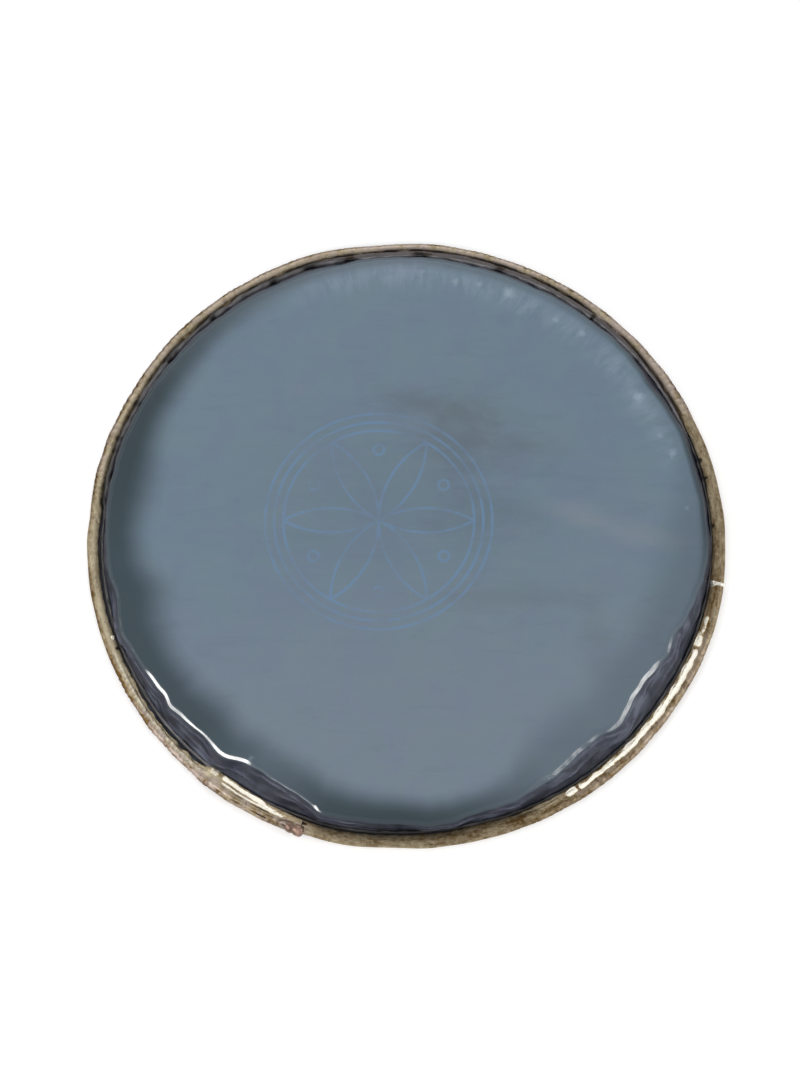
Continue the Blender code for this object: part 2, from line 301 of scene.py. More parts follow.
def socket_share(angle):
    """How far the long strip is opened: 0 is a plain fold and 1 the full socket."""
    return smooth_step((angle - LAP_START + SWAGE_SPAN) / SWAGE_SPAN)


def axis_height(angle):
    """Height of the hoop's centre line, which climbs at the socket and runs out past it, as in the part."""
    angle = (angle + 20) % 360 - 20
    past = smooth_step((angle - LAP_END) / RUN_OUT_SPAN)
    return REST_HEIGHT + SOCKET_CLIMB * socket_share(angle) * (1 - past)


def round_head(angle, radius, height):
    """Puts radii and heights at their angles, as points."""
    turn = np.radians(angle)
    radius, height, turn = np.broadcast_arrays(radius, height, turn)
    return np.stack([radius * np.cos(turn), radius * np.sin(turn), height], axis=-1)


def about_hoop(angle, out, up):
    """Puts section points, drawn about the hoop's centre line, at their angles."""
    return round_head(angle, HOOP_AXIS + hoop_bend(angle) + out, axis_height(angle) + up)


def grid_faces(index, meets):
    """Four-sided faces between each row of an index grid and the next. The columns always close, and the
    last row joins the first where the grid meets itself."""
    following = np.roll(index, -1, axis=0)
    if not meets:
        index, following = index[:-1], following[:-1]
    beside = np.roll(index, -1, axis=1)
    corner = np.roll(following, -1, axis=1)
    return np.stack([index, beside, corner, following], axis=-1).reshape(-1, 4).tolist()


def make_piece(name, points, material, node, layers=None, ends="flat", crease=40):
    """Makes the object of a grid of points [rows, columns]. ends says how the first and last rows are
    closed: flat is one face each, poles is a fan each, and meet joins them to each other."""
    rows, columns = points.shape[:2]
    index = np.arange(rows * columns).reshape(rows, columns)
    verts = points.reshape(-1, 3)
    faces = grid_faces(index, ends == "meet")
    poles = 0
    if ends == "flat":
        faces += [index[0][::-1].tolist(), index[-1].tolist()]
    if ends == "poles":
        poles = 2
        verts = np.concatenate([verts, points[[0, -1]].mean(axis=1)])
        for pole, one, two in (
            (rows * columns, np.roll(index[0], -1), index[0]),
            (rows * columns + 1, index[-1], np.roll(index[-1], -1)),
        ):
            faces += np.stack([np.full(columns, pole), one, two], axis=-1).tolist()
    data = bpy.data.meshes.new(name)
    data.from_pydata(verts.tolist(), [], faces)
    for label, values in (layers or {}).items():
        values = np.broadcast_to(values, (rows, columns))
        values = np.concatenate([values.ravel(), values[[0, -1]].mean(axis=1)[:poles]])
        layer = data.attributes.new(label, "FLOAT", "POINT")
        layer.data.foreach_set("value", values.astype(np.float32))
    data.shade_smooth()
    data.set_sharp_from_angle(angle=math.radians(crease))
    data.materials.append(material)
    piece = bpy.data.objects.new(name, data)
    bpy.context.scene.collection.objects.link(piece)
    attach(piece, "root")
    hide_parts(node)
    return piece


# Materials


class Shades:
    """Adds nodes to one material. Each method returns the output that the next one takes."""

    def __init__(self, name):
        self.material = bpy.data.materials.new(name)
        self.material.use_nodes = True
        self.tree = self.material.node_tree
        self.shader = self.tree.nodes["Principled BSDF"]
        self.place = self.add("ShaderNodeTexCoord").outputs["Object"]

    def put(self, socket, value):
        if isinstance(value, bpy.types.NodeSocket):
            self.tree.links.new(value, socket)
        elif hasattr(value, "__len__") and len(value) == 3 and len(socket.default_value) == 4:
            socket.default_value = (*value, 1)
        else:
            socket.default_value = value

    def add(self, kind, inputs=None, **settings):
        node = self.tree.nodes.new(kind)
        for key, value in settings.items():
            setattr(node, key, value)
        for key, value in (inputs or {}).items():
            self.put(node.inputs[key], value)
        return node

    def set(self, **inputs):
        """Sets or links the shader's own inputs. Underscores stand for spaces."""
        for key, value in inputs.items():
            self.put(self.shader.inputs[key.replace("_", " ")], value)

    def math(self, operation, *values, clamp=False):
        node = self.add("ShaderNodeMath", dict(enumerate(values)), operation=operation, use_clamp=clamp)
        return node.outputs[0]

    def plus(self, first, second, clamp=False):
        return self.math("ADD", first, second, clamp=clamp)

    def minus(self, first, second, clamp=False):
        return self.math("SUBTRACT", first, second, clamp=clamp)

    def times(self, first, second, clamp=False):
        return self.math("MULTIPLY", first, second, clamp=clamp)

    def sway(self, value, first, share, clamp=False):
        """Adds a share of a noise to a value. The noise counts from its middle."""
        return self.plus(value, self.times(self.minus(first, 0.5), share), clamp)

    def vector(self, operation, *values):
        """A vector, or a number from the three operations that give one."""
        node = self.add("ShaderNodeVectorMath", dict(enumerate(values)), operation=operation)
        return node.outputs[int(operation in ("LENGTH", "DISTANCE", "DOT_PRODUCT"))]

    def layer(self, name):
        return self.add("ShaderNodeAttribute", attribute_name=name).outputs["Fac"]

    def split(self, vector):
        return self.add("ShaderNodeSeparateXYZ", {0: vector}).outputs

    def join(self, x, y, z):
        return self.add("ShaderNodeCombineXYZ", {0: x, 1: y, 2: z}).outputs[0]

    def noise(self, vector, scale, detail=3, roughness=0.5, distortion=0):
        inputs = {"Vector": vector, "Scale": scale, "Detail": detail, "Roughness": roughness}
        return self.add("ShaderNodeTexNoise", {**inputs, "Distortion": distortion}).outputs[0]

    def ring_noise(self, along, over, *shape):
        """Noise in ring_place, at scale 1."""
        return self.noise(self.ring_place(along, over), 1, *shape)

    def step(self, value, start, end, low=0, high=1):
        """Goes smoothly from low to high as the value goes from start to end."""
        inputs = {"Value": value, "From Min": start, "From Max": end, "To Min": low, "To Max": high}
        return self.add("ShaderNodeMapRange", inputs, interpolation_type="SMOOTHSTEP").outputs[0]

    def mix(self, share, first, second):
        node = self.add("ShaderNodeMix", data_type="RGBA")
        for socket, value in ((node.inputs[0], share), (node.inputs[6], first), (node.inputs[7], second)):
            self.put(socket, value)
        return node.outputs[2]

    def bump(self, height, distance, strength):
        inputs = {"Height": height, "Distance": distance, "Strength": strength}
        return self.add("ShaderNodeBump", inputs).outputs[0]

    def ring_place(self, along, over):
        """A place that runs round the head without a seam: the direction from the axis times along, and the
        distance from the axis times over."""
        x, y = self.split(self.place)[:2]
        flat = self.join(x, y, 0)
        reach = self.vector("LENGTH", flat)
        heading = self.vector("NORMALIZE", flat)
        heading = self.vector("MULTIPLY", heading, (along, along, 0))
        lift = self.join(0, 0, self.times(reach, over))
        return self.vector("ADD", heading, lift)


def ornament_mask(s, radius):
    """1 on the lines of a plain compass-drawn rosette in two rings. The plane is folded into one petal: the
    angle from the nearest of six axes, then mirrored about that axis. In it, a petal's side is an arc whose
    centre is a rosette radius away at 60 degrees, and a dot lies between each two petals."""
    centre = (-9 * MM, 3 * MM, 0)
    x, y = s.split(s.vector("SUBTRACT", s.place, centre))[:2]
    flat = s.join(x, y, 0)
    reach = s.vector("LENGTH", flat)
    angle = s.math("ARCTAN2", y, x)
    sector = math.radians(60)
    folded = s.math("ABSOLUTE", s.math("WRAP", angle, sector / 2, -sector / 2))
    inside = s.join(s.times(reach, s.math("COSINE", folded)), s.times(reach, s.math("SINE", folded)), 0)
    petal = 0.84 * radius
    pole = (petal * math.cos(sector), -petal * math.sin(sector), 0)
    arc = s.math("ABSOLUTE", s.minus(s.vector("DISTANCE", inside, pole), petal))
    arc = s.plus(arc, s.step(reach, petal, petal + 0.5 * MM, 0, 5 * MM))
    rings = [s.math("ABSOLUTE", s.minus(reach, share * radius)) for share in (1, 0.92, 0.84)]
    dot_place = (0.66 * radius * math.cos(sector / 2), 0.66 * radius * math.sin(sector / 2), 0)
    dot = s.math("ABSOLUTE", s.minus(s.vector("DISTANCE", inside, dot_place), 1.8 * MM))
    nearest = arc
    for other in (*rings, dot):
        nearest = s.math("MINIMUM", nearest, other)
    return s.step(nearest, 0.65 * MM, 0.3 * MM)


def face_colour(s, settings):
    """The playing face's colour, bluer to the left and greyer towards the near side, with tints, wiped
    streaks and smears in it, the smears partly painted highlights and a painted dim reflection, and the
    clouds that it is made of."""
    x, y = s.split(s.place)[:2]
    cloud = s.noise(s.place, 22, 4, 0.55, 0.4)
    colour = s.mix(s.step(cloud, 0.35, 0.65), settings.blue, settings.colour)
    left = s.step(s.minus(x, y), 60 * MM, -120 * MM, 0, 0.5)
    colour = s.mix(left, colour, settings.blue)
    low = s.step(y, 10 * MM, -75 * MM, 0, 0.8)
    colour = s.mix(low, colour, settings.low)

    tint = s.noise(s.place, 75, 5, 0.62, 0.6)
    colour = s.mix(s.step(tint, 0.40, 0.62, 0, 0.3), colour, (0.150, 0.222, 0.250))
    colour = s.mix(s.step(tint, 0.55, 0.35, 0, 0.3), colour, (0.150, 0.188, 0.262))

    wiped = s.noise(s.vector("MULTIPLY", s.place, (38, 190, 0)), 1, 5, 0.68, 0.8)
    colour = s.mix(s.step(wiped, 0.52, 0.68, 0, 0.16), colour, (0.190, 0.222, 0.262))
    colour = s.mix(s.step(wiped, 0.47, 0.33, 0, 0.16), colour, (0.105, 0.144, 0.186))
    torn = s.noise(s.vector("MULTIPLY", s.place, (48, 120, 0)), 1, 5, 0.65, 0.6)
    # Smears: the pale ones are painted highlights, the dark ones over the middle partly a painted dim
    # reflection
    for mid_x, mid_y, length, width, slope, share, pale in SMEARS_AND_REFLECTIONS:
        offset = s.vector("SUBTRACT", s.place, (mid_x * MM, mid_y * MM, 0))
        along = s.vector("DOT_PRODUCT", offset, (1 / (length * MM), 0, 0))
        over = s.vector("DOT_PRODUCT", offset, (-slope / (width * MM), 1 / (width * MM), 0))
        reach = s.sway(s.vector("LENGTH", s.join(along, over, 0)), torn, 1.8)
        mark = (0.225, 0.256, 0.298) if pale else (0.084, 0.104, 0.122)
        colour = s.mix(s.step(reach, 1.35, -0.1, 0, share), colour, mark)
    return colour, cloud


def face_marks(s, settings, colour):
    """What lies on the face's colour: worn printed lines, specks, the edge's painted reflection and shade,
    and painted highlight spots."""
    wear = s.step(s.noise(s.place, 70, 5, 0.7, 0.3), 0.34, 0.64, 0.08, 0.62)
    ink = s.times(ornament_mask(s, settings.ornament), wear)
    ink = s.times(ink, s.layer("upper"))
    colour = s.mix(ink, colour, settings.line)
    specks = s.step(s.noise(s.place, 900, 2, 0.5), 0.72, 0.80, 0, 0.18)
    colour = s.mix(specks, colour, (0.30, 0.34, 0.38))
    # Painted reflection inside the far edge, broken into strokes
    strokes = s.ring_noise(26, 90, 5, 0.65, 0.3)
    haze = s.times(s.layer("haze"), s.step(strokes, 0.36, 0.66, 0.1, 1.5), clamp=True)
    colour = s.mix(haze, colour, settings.haze)
    colour = s.mix(s.layer("shade"), colour, settings.shade)
    # Painted highlights: pale spots where the face's ripples catch the light
    uneven = s.times(s.minus(s.noise(s.place, 420, 3, 0.6), 0.5), 3.6 * MM)
    for turn, reach, size in HIGHLIGHT_SPOTS:
        turn, reach = math.radians(turn), reach * MM
        middle = (reach * math.cos(turn), reach * math.sin(turn), FILM_TOP)
        near = s.plus(s.vector("DISTANCE", s.place, middle), uneven)
        share = s.step(near, 1.3 * size * MM, 0, 0, min(0.6, 0.27 * size))
        colour = s.mix(share, colour, (0.32, 0.40, 0.48))
    return colour


def collar_colour(s, settings, wall, broken):
    """The collar's navy: blotchy, with highlights painted on its crease ridges, painted light making the top
    of the far side paler, painted shade towards the resin on the near side, and dark blots."""
    blotch = s.step(s.ring_noise(12, 380, 4, 0.6, 0.5), 0.42, 0.62)
    collar = s.mix(blotch, settings.collar, (0.027, 0.032, 0.052))
    # Painted highlight on the ridges of the collar's creases
    collar = s.mix(s.times(s.layer("ridge"), broken), collar, settings.ridge_highlight)
    # Painted light: the top of the far side's collar made paler
    wear_and_light = s.times(s.layer("far"), s.step(wall, 0.75, 0.05, 0, 0.9))
    collar = s.mix(wear_and_light, collar, (0.045, 0.058, 0.090))
    lift = s.times(s.layer("lift"), s.step(blotch, -0.6, 1))
    collar = s.mix(lift, collar, (0.108, 0.124, 0.168))
    # Painted shade towards the resin on the near side, and the dark blots
    return s.mix(s.times(s.layer("blot"), broken), collar, (0.002, 0.003, 0.009))


def film_material(settings):
    """Glossy film, finely scratched: the playing face, the duller collar and the white highlight painted
    along the crease between them."""
    s = Shades("film")
    colour, cloud = face_colour(s, settings)
    colour = face_marks(s, settings, colour)
    wall = s.layer("wall")
    broken = s.step(s.ring_noise(22, 600, 4, 0.65), 0.36, 0.62, 0.1, 1)
    collar = collar_colour(s, settings, wall, broken)
    colour = s.mix(s.step(wall, 0.02, 0.12), colour, collar)
    # Painted highlight along the crease at the edge, a little broken up
    gleam = s.plus(s.layer("gleam"), s.times(s.minus(broken, 0.7), 0.25), clamp=True)
    gleam = s.times(gleam, s.step(s.layer("gleam"), 0, 0.15))
    colour = s.mix(gleam, colour, settings.gleam)

    scratch_place = s.vector("MULTIPLY", s.place, (500, 90, 0))
    scratch = s.step(s.noise(scratch_place, 1, 2, 0.5, 1.2), 0.62, 0.75, 0, 0.5)
    gloss = s.plus(settings.gloss - 0.03, s.times(cloud, 0.08))
    gloss = s.plus(gloss, s.times(scratch, 0.08))
    dull = s.step(wall, 0, 0.02, 0, 0.36)
    gloss = s.plus(gloss, s.times(dull, s.minus(1, gleam)))
    skin = s.noise(s.place, 420, 3, 0.5)
    s.set(Base_Color=colour, Roughness=gloss, Normal=s.bump(skin, 0.02 * MM, 0.5), IOR=1.46)
    return s.material


def brass_material(settings):
    """Hand-worked brass: dull and tan patches, partly painted light and shade, pink where it was heated,
    highlights painted along the inner half in places with a golden rim, brown spots, and dirt with painted
    shade in its creases and crimps."""
    s = Shades("brass")
    patch = s.ring_noise(16, 620, 5, 0.65, 0.4)
    mottle = s.ring_noise(70, 1100, 4, 0.62, 0.5)
    fine = s.noise(s.place, 2600, 3, 0.6)
    # The tone layer holds painted light and shade as well as patina, so the dull-to-tan mix carries both
    blend = s.sway(s.layer("tone"), patch, 1.4)
    blend = s.sway(blend, mottle, 1.2, clamp=True)
    colour = s.mix(blend, settings.olive, settings.tan)
    # Painted highlight and wear: the brightest brass where the tone layer is highest
    wear_and_light = s.sway(s.layer("tone"), mottle, 1.2)
    colour = s.mix(s.step(wear_and_light, 0.95, 1.6, 0, 0.8), colour, settings.bright)
    blush = s.step(s.noise(s.place, 230, 3, 0.6), 0.36, 0.62)
    colour = s.mix(s.times(blush, s.layer("pink")), colour, settings.pink)
    colour = s.mix(s.layer("lead"), colour, (0.137, 0.124, 0.126))
    stain = s.step(s.noise(s.place, 260, 4, 0.6, 0.8), 0.60, 0.72, 0, 0.5)
    colour = s.mix(stain, colour, (0.075, 0.045, 0.022))
    spots = s.step(s.ring_noise(120, 900, 2, 0.5), 0.70, 0.76, 0, 0.75)
    colour = s.mix(spots, colour, (0.040, 0.018, 0.007))
    # Painted highlights along the inner half, with a golden rim
    ragged = s.sway(s.layer("painted_highlight"), mottle, 1.1)
    colour = s.mix(s.step(ragged, 0.15, 0.5, 0, 0.55), colour, settings.highlight_rim)
    painted_highlight = s.step(ragged, 0.34, 0.72)
    colour = s.mix(painted_highlight, colour, settings.bright)
    # Dirt and painted shade in the creases, crimps and grooves
    dirt_and_shade = s.sway(s.layer("grime_and_shade"), mottle, 0.9)
    colour = s.mix(s.step(dirt_and_shade, 0.15, 0.45, 0, 0.75), colour, (0.050, 0.028, 0.012))
    dirt_and_shade = s.step(dirt_and_shade, 0.42, 0.75)
    colour = s.mix(dirt_and_shade, colour, settings.grime_and_shade)
    gloss = s.plus(0.42, s.times(fine, 0.22))
    gloss = s.minus(gloss, s.times(painted_highlight, 0.12))
    gloss = s.plus(gloss, s.times(dirt_and_shade, 0.3), clamp=True)
    metal = s.minus(1, s.times(dirt_and_shade, 0.8))
    metal = s.minus(metal, s.times(painted_highlight, 0.5), clamp=True)
    normal = s.bump(s.plus(mottle, s.times(fine, 0.35)), 0.07 * MM, 0.8)
    s.set(Base_Color=colour, Roughness=gloss, Metallic=metal, Normal=normal)
    return s.material


def braze_material(name, colour, roughness):
    """Braze that froze as it ran: a slightly uneven colour, dull where it is marked, and a rippled skin."""
    s = Shades(name)
    ripple = s.noise(s.place, 1400, 3, 0.5, 0.6)
    dull = tuple(0.45 * c for c in colour)
    tint = s.mix(s.step(ripple, 0.5, 0.75, 0, 0.6), colour, dull)
    tint = s.mix(s.layer("dull"), tint, tuple(0.36 * c for c in colour))
    gloss = s.plus(roughness, s.times(ripple, 0.2))
    s.set(Base_Color=tint, Roughness=gloss, Metallic=0.7, Normal=s.bump(ripple, 0.08 * MM, 0.7))
    return s.material


def resin_material(settings):
    """Black resin, with dust and painted light towards the collar and in its dips, and light grey painted
    over the collar's shade.
    """
    s = Shades("resin")
    lumps = s.noise(s.place, 600, 4, 0.6, 0.3)
    blots = s.ring_noise(16, 260, 4, 0.6, 0.4)
    # Dust and painted light on the resin's side towards the collar
    dust = s.sway(s.layer("dust"), blots, 1.6)
    colour = s.mix(s.step(dust, 0.25, 0.75), settings.resin, settings.dust)
    colour = s.mix(s.step(lumps, 0.55, 0.8, 0, 0.5), colour, (0.060, 0.058, 0.062))
    # Painted light: light grey over the shade beside the collar
    light_patch = s.times(s.layer("pale"), s.step(blots, 0.3, 0.62, 0.35, 1))
    colour = s.mix(light_patch, colour, (0.41, 0.40, 0.42))
    gloss = s.plus(0.34, s.times(lumps, 0.35))
    s.set(Base_Color=colour, Roughness=gloss, Normal=s.bump(lumps, 0.15 * MM, 0.8))
    return s.material


def wire_material():
    """Drawn steel wire: fine lines along it and a few rust spots."""
    s = Shades("drawn_steel")
    lines = s.ring_noise(4, 6000, 3, 0.6)
    rust = s.step(s.noise(s.place, 300, 4, 0.6), 0.6, 0.75)
    colour = s.mix(rust, s.mix(lines, (0.30, 0.30, 0.31), (0.52, 0.52, 0.53)), (0.16, 0.06, 0.025))
    gloss = s.plus(0.3, s.times(rust, 0.4))
    s.set(Base_Color=colour, Roughness=gloss, Metallic=1, Normal=s.bump(lines, 0.02 * MM, 0.5))
    return s.material


def floor_material(settings):
    """Pale floor. Seen by the camera or in a reflection, it glows a little, so that the lit floor is white
    and a shadow on it stays. It isn't seen from below."""
    s = Shades("studio_floor")
    s.set(Base_Color=settings.floor, Roughness=0.9, Specular_IOR_Level=0)
    seen = s.add("ShaderNodeLightPath").outputs
    share = s.plus(seen["Is Camera Ray"], seen["Is Glossy Ray"])
    share = s.plus(share, seen["Is Transmission Ray"], clamp=True)
    s.set(Emission_Color=(1, 1, 1), Emission_Strength=s.times(share, 0.38))
    under = s.add("ShaderNodeNewGeometry").outputs["Backfacing"]
    clear = s.add("ShaderNodeBsdfTransparent").outputs[0]
    cover = s.add("ShaderNodeMixShader", {0: under, 1: s.shader.outputs[0], 2: clear}).outputs[0]
    s.tree.links.new(cover, s.tree.nodes["Material Output"].inputs["Surface"])
    return s.material


# Film

# Points round the film, rings in each part of it from the middle out, and the slope of the edge's crease
FILM_COLUMNS = 720
FACE_RINGS = 26
EDGE_RINGS = 5
WALL_RINGS = 20
FOOT_RINGS = 3
FLANGE_RINGS = 2
CREASE_SLOPE = 53.5

# The layer named wall: 0 on the face, then how far down each ring is, to 1 at the collar's foot
# WHITE_LINE is the wall layer's value on the edge's crease, where the white highlight is painted
WHITE_LINE = 0.03
WALL_TOP = 0.06

# The soft shade inside the edge: angle, share, and how far in it reaches in millimetres
EDGE_SHADES = (
    (0, 0.30, 22), (15, 0.18, 9), (30, 0.10, 8), (45, 0.03, 7), (60, 0, 5), (106, 0, 5), (120, 0.38, 10),
    (133, 0.74, 10.6), (142, 0.85, 12.9), (150, 0.97, 15.2), (157, 0.97, 15.8), (165, 0.97, 18.9),
    (172, 0.95, 19.8), (180, 0.92, 17.4), (187, 0.88, 17.4), (195, 0.88, 21.8), (202, 0.88, 21.8),
    (210, 0.87, 18.6), (217, 0.86, 18.4), (225, 0.86, 19), (232, 0.78, 17.5), (240, 0.55, 14.2),
    (247, 0.66, 14.7), (255, 0.90, 16.3), (262, 0.92, 13.2), (270, 0.93, 11.3), (277, 0.88, 10.9),
    (285, 0.72, 10.2), (292, 0.54, 13.6), (300, 0.36, 22), (315, 0.33, 22), (330, 0.32, 22),
    (345, 0.34, 24),
)

# Dark blots on the collar: middle and span
COLLAR_BLOTS = (
    (12, 1.5), (31.5, 1.6), (35.5, 2), (47, 3.2), (70, 1.2), (86, 1.6), (100.5, 2.2), (109, 2.2), (117, 1),
    (131, 1.2), (143, 1), (154, 1.2), (163, 1.2), (184.5, 2.6), (190, 1.6), (203, 1), (211, 2), (219, 2.2),
    (225, 1.4), (232.5, 1.2), (253.5, 0.5), (261, 3), (273, 1.3), (277.5, 1.6), (297, 1.1), (309, 1.6),
    (333, 1), (352.4, 1.7),
)

# A narrow shade right at the edge: angle, share, and reach in millimetres
RIM_SHADES = (
    (0, 0.9, 2.9), (15, 0.9, 2.2), (30, 0.85, 2), (45, 0.5, 3), (60, 0.4, 4.5), (90, 0.5, 5), (120, 0.6, 5),
    (135, 0.45, 4), (170, 0.1, 3), (250, 0.15, 3), (273, 0.45, 5), (285, 0.2, 4), (300, 0.2, 3),
    (345, 0.3, 3),
)


def pleat_wave(angle):
    """The pleats: narrow valleys between round lobes, unevenly spaced round the head. It is twice the square
    root of the size of a sine, less one, of an angle that wanders."""
    uneven = 14 * angle + 28 * wander(angle, 3, 1, 6)
    return 2 * np.sqrt(np.abs(np.sin(np.radians(uneven)))) - 1


def round_mean(values, span):
    """The running mean of a ring of values over a span in degrees, weighted by a half sine."""
    columns = round(span * len(values) / 360)
    weights = np.sin(np.pi * (np.arange(columns) + 0.5) / columns)
    padded = np.concatenate([values[-columns:], values, values[:columns]])
    smooth = np.convolve(padded, weights / weights.sum(), "same")
    return smooth[columns:-columns]


def edge_radius(angle, scallop):
    """Radius of the playing face's edge: straight lines between EDGE_POINTS, rounded by a running mean over
    2.5 degrees, with the pleats' scallops and a slight tremble."""
    radius = round_mean(between(EDGE_POINTS, angle) * MM, 2.5)
    return radius + 0.3 * scallop * pleat_wave(angle) + 0.07 * MM * wander(angle, 5, 30, 90)


def edge_crease(angle):
    """How wide the flat crease along the edge is, as a share: full over the lap's tuck, more in three
    lengths over the side's, and slight elsewhere."""
    width = stretch(angle, 209.5, 238.5, 3) * (0.9 + 0.25 * wander(angle, 6, 8, 40))
    side = stretches(angle, (1.5, 295.5, 312.8, 4), (1.5, 313.6, 331.5, 4), (1.5, 333.6, 339, 3))
    width += side * (0.9 + 0.2 * wander(angle, 7, 8, 30)) + spot(angle, 253.1, 0.6)
    return np.clip(width, 0.06, 1.7)


def face_height(angle, radius, edge, droop):
    """How far the playing face stands off its plane: long shallow waves, and a droop that grows towards the
    edge as e to the minus distance over 5 mm."""
    x = radius * np.cos(np.radians(angle)) / MM
    y = radius * np.sin(np.radians(angle)) / MM
    rise = 0.035 * np.cos(x / 13 + 0.6 * np.sin(y / 21)) * np.cos(y / 17 + 1)
    rise += 0.02 * np.cos((x + 0.6 * y) / 7 + 0.4) * np.cos(y / 11)
    rise *= smooth_step((edge - radius) / (8 * MM))
    return rise * MM - droop * np.exp(-(edge - radius) / (5 * MM))


def wall_ridges(angle, share):
    """The creases along the collar's wall: three wandering lines, each a narrow hump across the wall whose
    height comes and goes round the head. They are strongest on the near side."""
    total = 0 * angle * share
    for place, seed, width in ((0.24, 8, 0.05), (0.5, 10, 0.06), (0.78, 11, 0.05)):
        size = np.clip(0.65 + 0.55 * wander(angle, seed + 60, 5, 34), 0, 1.4)
        total = total + size * hump(share, place + 0.055 * wander(angle, seed, 4, 30), width)
    return total * (0.3 + 0.7 * stretch(angle, 192, 345, 14))


def wall_bulge(angle, share, pleat, lobes):
    """How far the collar's wall stands out of its straight line, at a share of the way down it: the edge's
    own lobes, the pleats, the creases along it, and small crumples. All are 0 at its top and foot."""
    rise = np.sin(np.pi * share)
    crumple = wander(angle, 9, 20, 90, share, 1.6)
    bulge = 0.5 * pleat * pleat_wave(angle) + 0.34 * MM * wall_ridges(angle, share) + 0.11 * MM * crumple
    return rise * (bulge + 0.5 * lobes)


def arc(middle_r, middle_z, radius, turn, wall):
    """Rings on a circle's arc, as radii, heights, the two parts of the normal and the wall layer."""
    out, up = np.cos(turn), np.sin(turn)
    return middle_r + radius * out, middle_z + radius * up, out, up, wall


def wall_lean(across_r, across_z):
    """The turn of the normal on the line that touches both the rounded edge and the foot's fillet, whose
    middles are this far apart."""
    tilt = np.arccos((EDGE_FILLET + FOOT_FILLET) / np.hypot(across_r, across_z))
    return np.arctan2(across_z, across_r) + tilt


def wall_rings(angle, start, end, lean, pleat, lobes):
    """The collar's wall between its two ends: a straight line, with the wall's bulge along its normal."""
    share = np.linspace(0, 1, WALL_RINGS + 1)[1:-1, None]
    bulge = wall_bulge(angle, share, pleat, lobes)
    out, up = np.cos(lean), np.sin(lean)
    radius, height = (
        one + share * (two - one) + bulge * part for one, two, part in zip(start, end, (out, up))
    )
    wall = WALL_TOP + (1 - WALL_TOP) * share
    return radius, height, out + 0 * share, up + 0 * share, wall + 0 * angle


def film_middle(settings):
    """The film's middle surface from its centre to the flange's rim, as radii, heights and the two parts of
    the normal [rings, columns], and how far down the wall each ring is."""
    angle = np.arange(FILM_COLUMNS) * 360 / FILM_COLUMNS
    edge = edge_radius(angle, settings.scallop)
    crease = settings.crease * edge_crease(angle)
    slope, upright = math.radians(CREASE_SLOPE), math.pi / 2
    edge_r = edge - EDGE_FILLET - crease * math.sin(slope)
    edge_z = CROWN_MIDDLE - settings.droop - EDGE_FILLET
    top_r, top_z = edge - EDGE_FILLET, edge_z - crease * math.cos(slope)
    base, rim = axis_height(angle), FLANGE_EDGE + hoop_bend(angle)
    foot_r, foot_z = COLLAR_FOOT + hoop_bend(angle) + FOOT_FILLET, base + FOOT_FILLET
    lean = wall_lean(foot_r - top_r, foot_z - top_z)

    radius = (1 - (1 - np.linspace(0.02, 1, FACE_RINGS)) ** 1.5)[:, None] * edge_r
    height = CROWN_MIDDLE + face_height(angle, radius, edge_r, settings.droop)
    face = (radius, height, 0 * radius, 0 * radius + 1, 0 * radius)
    turn = upright + (slope - upright) * np.linspace(0, 1, EDGE_RINGS + 1)[1:, None] + 0 * angle
    brow = arc(edge_r, edge_z, EDGE_FILLET, turn, WHITE_LINE * (upright - turn) / (upright - slope))
    turn = slope + (lean - slope) * np.linspace(0, 1, EDGE_RINGS + 1)[:, None]
    wall = WHITE_LINE + (WALL_TOP - WHITE_LINE) * (slope - turn) / (slope - lean)
    shoulder = arc(top_r, top_z, EDGE_FILLET, turn, wall)
    turn = lean + (upright - lean) * np.linspace(0, 1, FOOT_RINGS + 1)[:, None]
    foot = arc(foot_r, foot_z, -FOOT_FILLET, turn, 1 + 0 * turn)
    ends = [[rings[row] for rings in part[:2]] for part, row in ((shoulder, -1), (foot, 0))]
    wall = wall_rings(angle, *ends, lean, settings.pleat, edge - round_mean(edge, 30))
    share = np.linspace(0, 1, FLANGE_RINGS + 1)[1:, None]
    flat = 0 * share * angle
    flange = (foot_r + share * (rim - foot_r), base + flat, flat, flat + 1, flat + 1)
    parts = zip(face, brow, shoulder, wall, foot, flange)
    return angle, edge, [np.concatenate(rings) for rings in parts]


def collar_blots(angle, wall):
    """How dark the collar is beyond its own colour: painted shade towards the resin on the near side, and
    the blots.
    """
    # Painted shade at the collar's foot by the resin on the near side
    near = 0.75 * stretch(angle, 240, 350, 14) * smooth_step((wall - 0.4) / 0.5)
    near = near + 0.6 * stretch(angle, 246, 276, 8) * smooth_step((wall - 0.12) / 0.3)
    blots = sum(spot(angle, middle, span) for middle, span in COLLAR_BLOTS)
    return clamp(near + blots * smooth_step((wall - 0.3) / 0.35)) * (wall > WALL_TOP)


def collar_lift(angle, wall):
    """How pale the collar is: over its upper half on the right side, and less by the lap and in front, all
    of it uneven."""
    lift = 0.85 * stretch(angle, 307, 347, 10) * smooth_step((0.9 - wall) / 0.65)
    lift = lift + 0.4 * stretch(angle, 291, 306, 8) * smooth_step((0.75 - wall) / 0.5)
    lift = lift + 0.45 * stretch(angle, 205, 236, 8) * smooth_step((wall - 0.5) / 0.3)
    lift = lift + 0.35 * stretch(angle, 205, 217, 4) * hump(wall, 0.4, 0.15)
    lift = lift + 0.25 * stretch(angle, 277, 291, 5)
    return clamp(lift * (0.9 + 0.25 * wander(angle, 17, 10, 70, wall, 1.5))) * (wall > WALL_TOP)


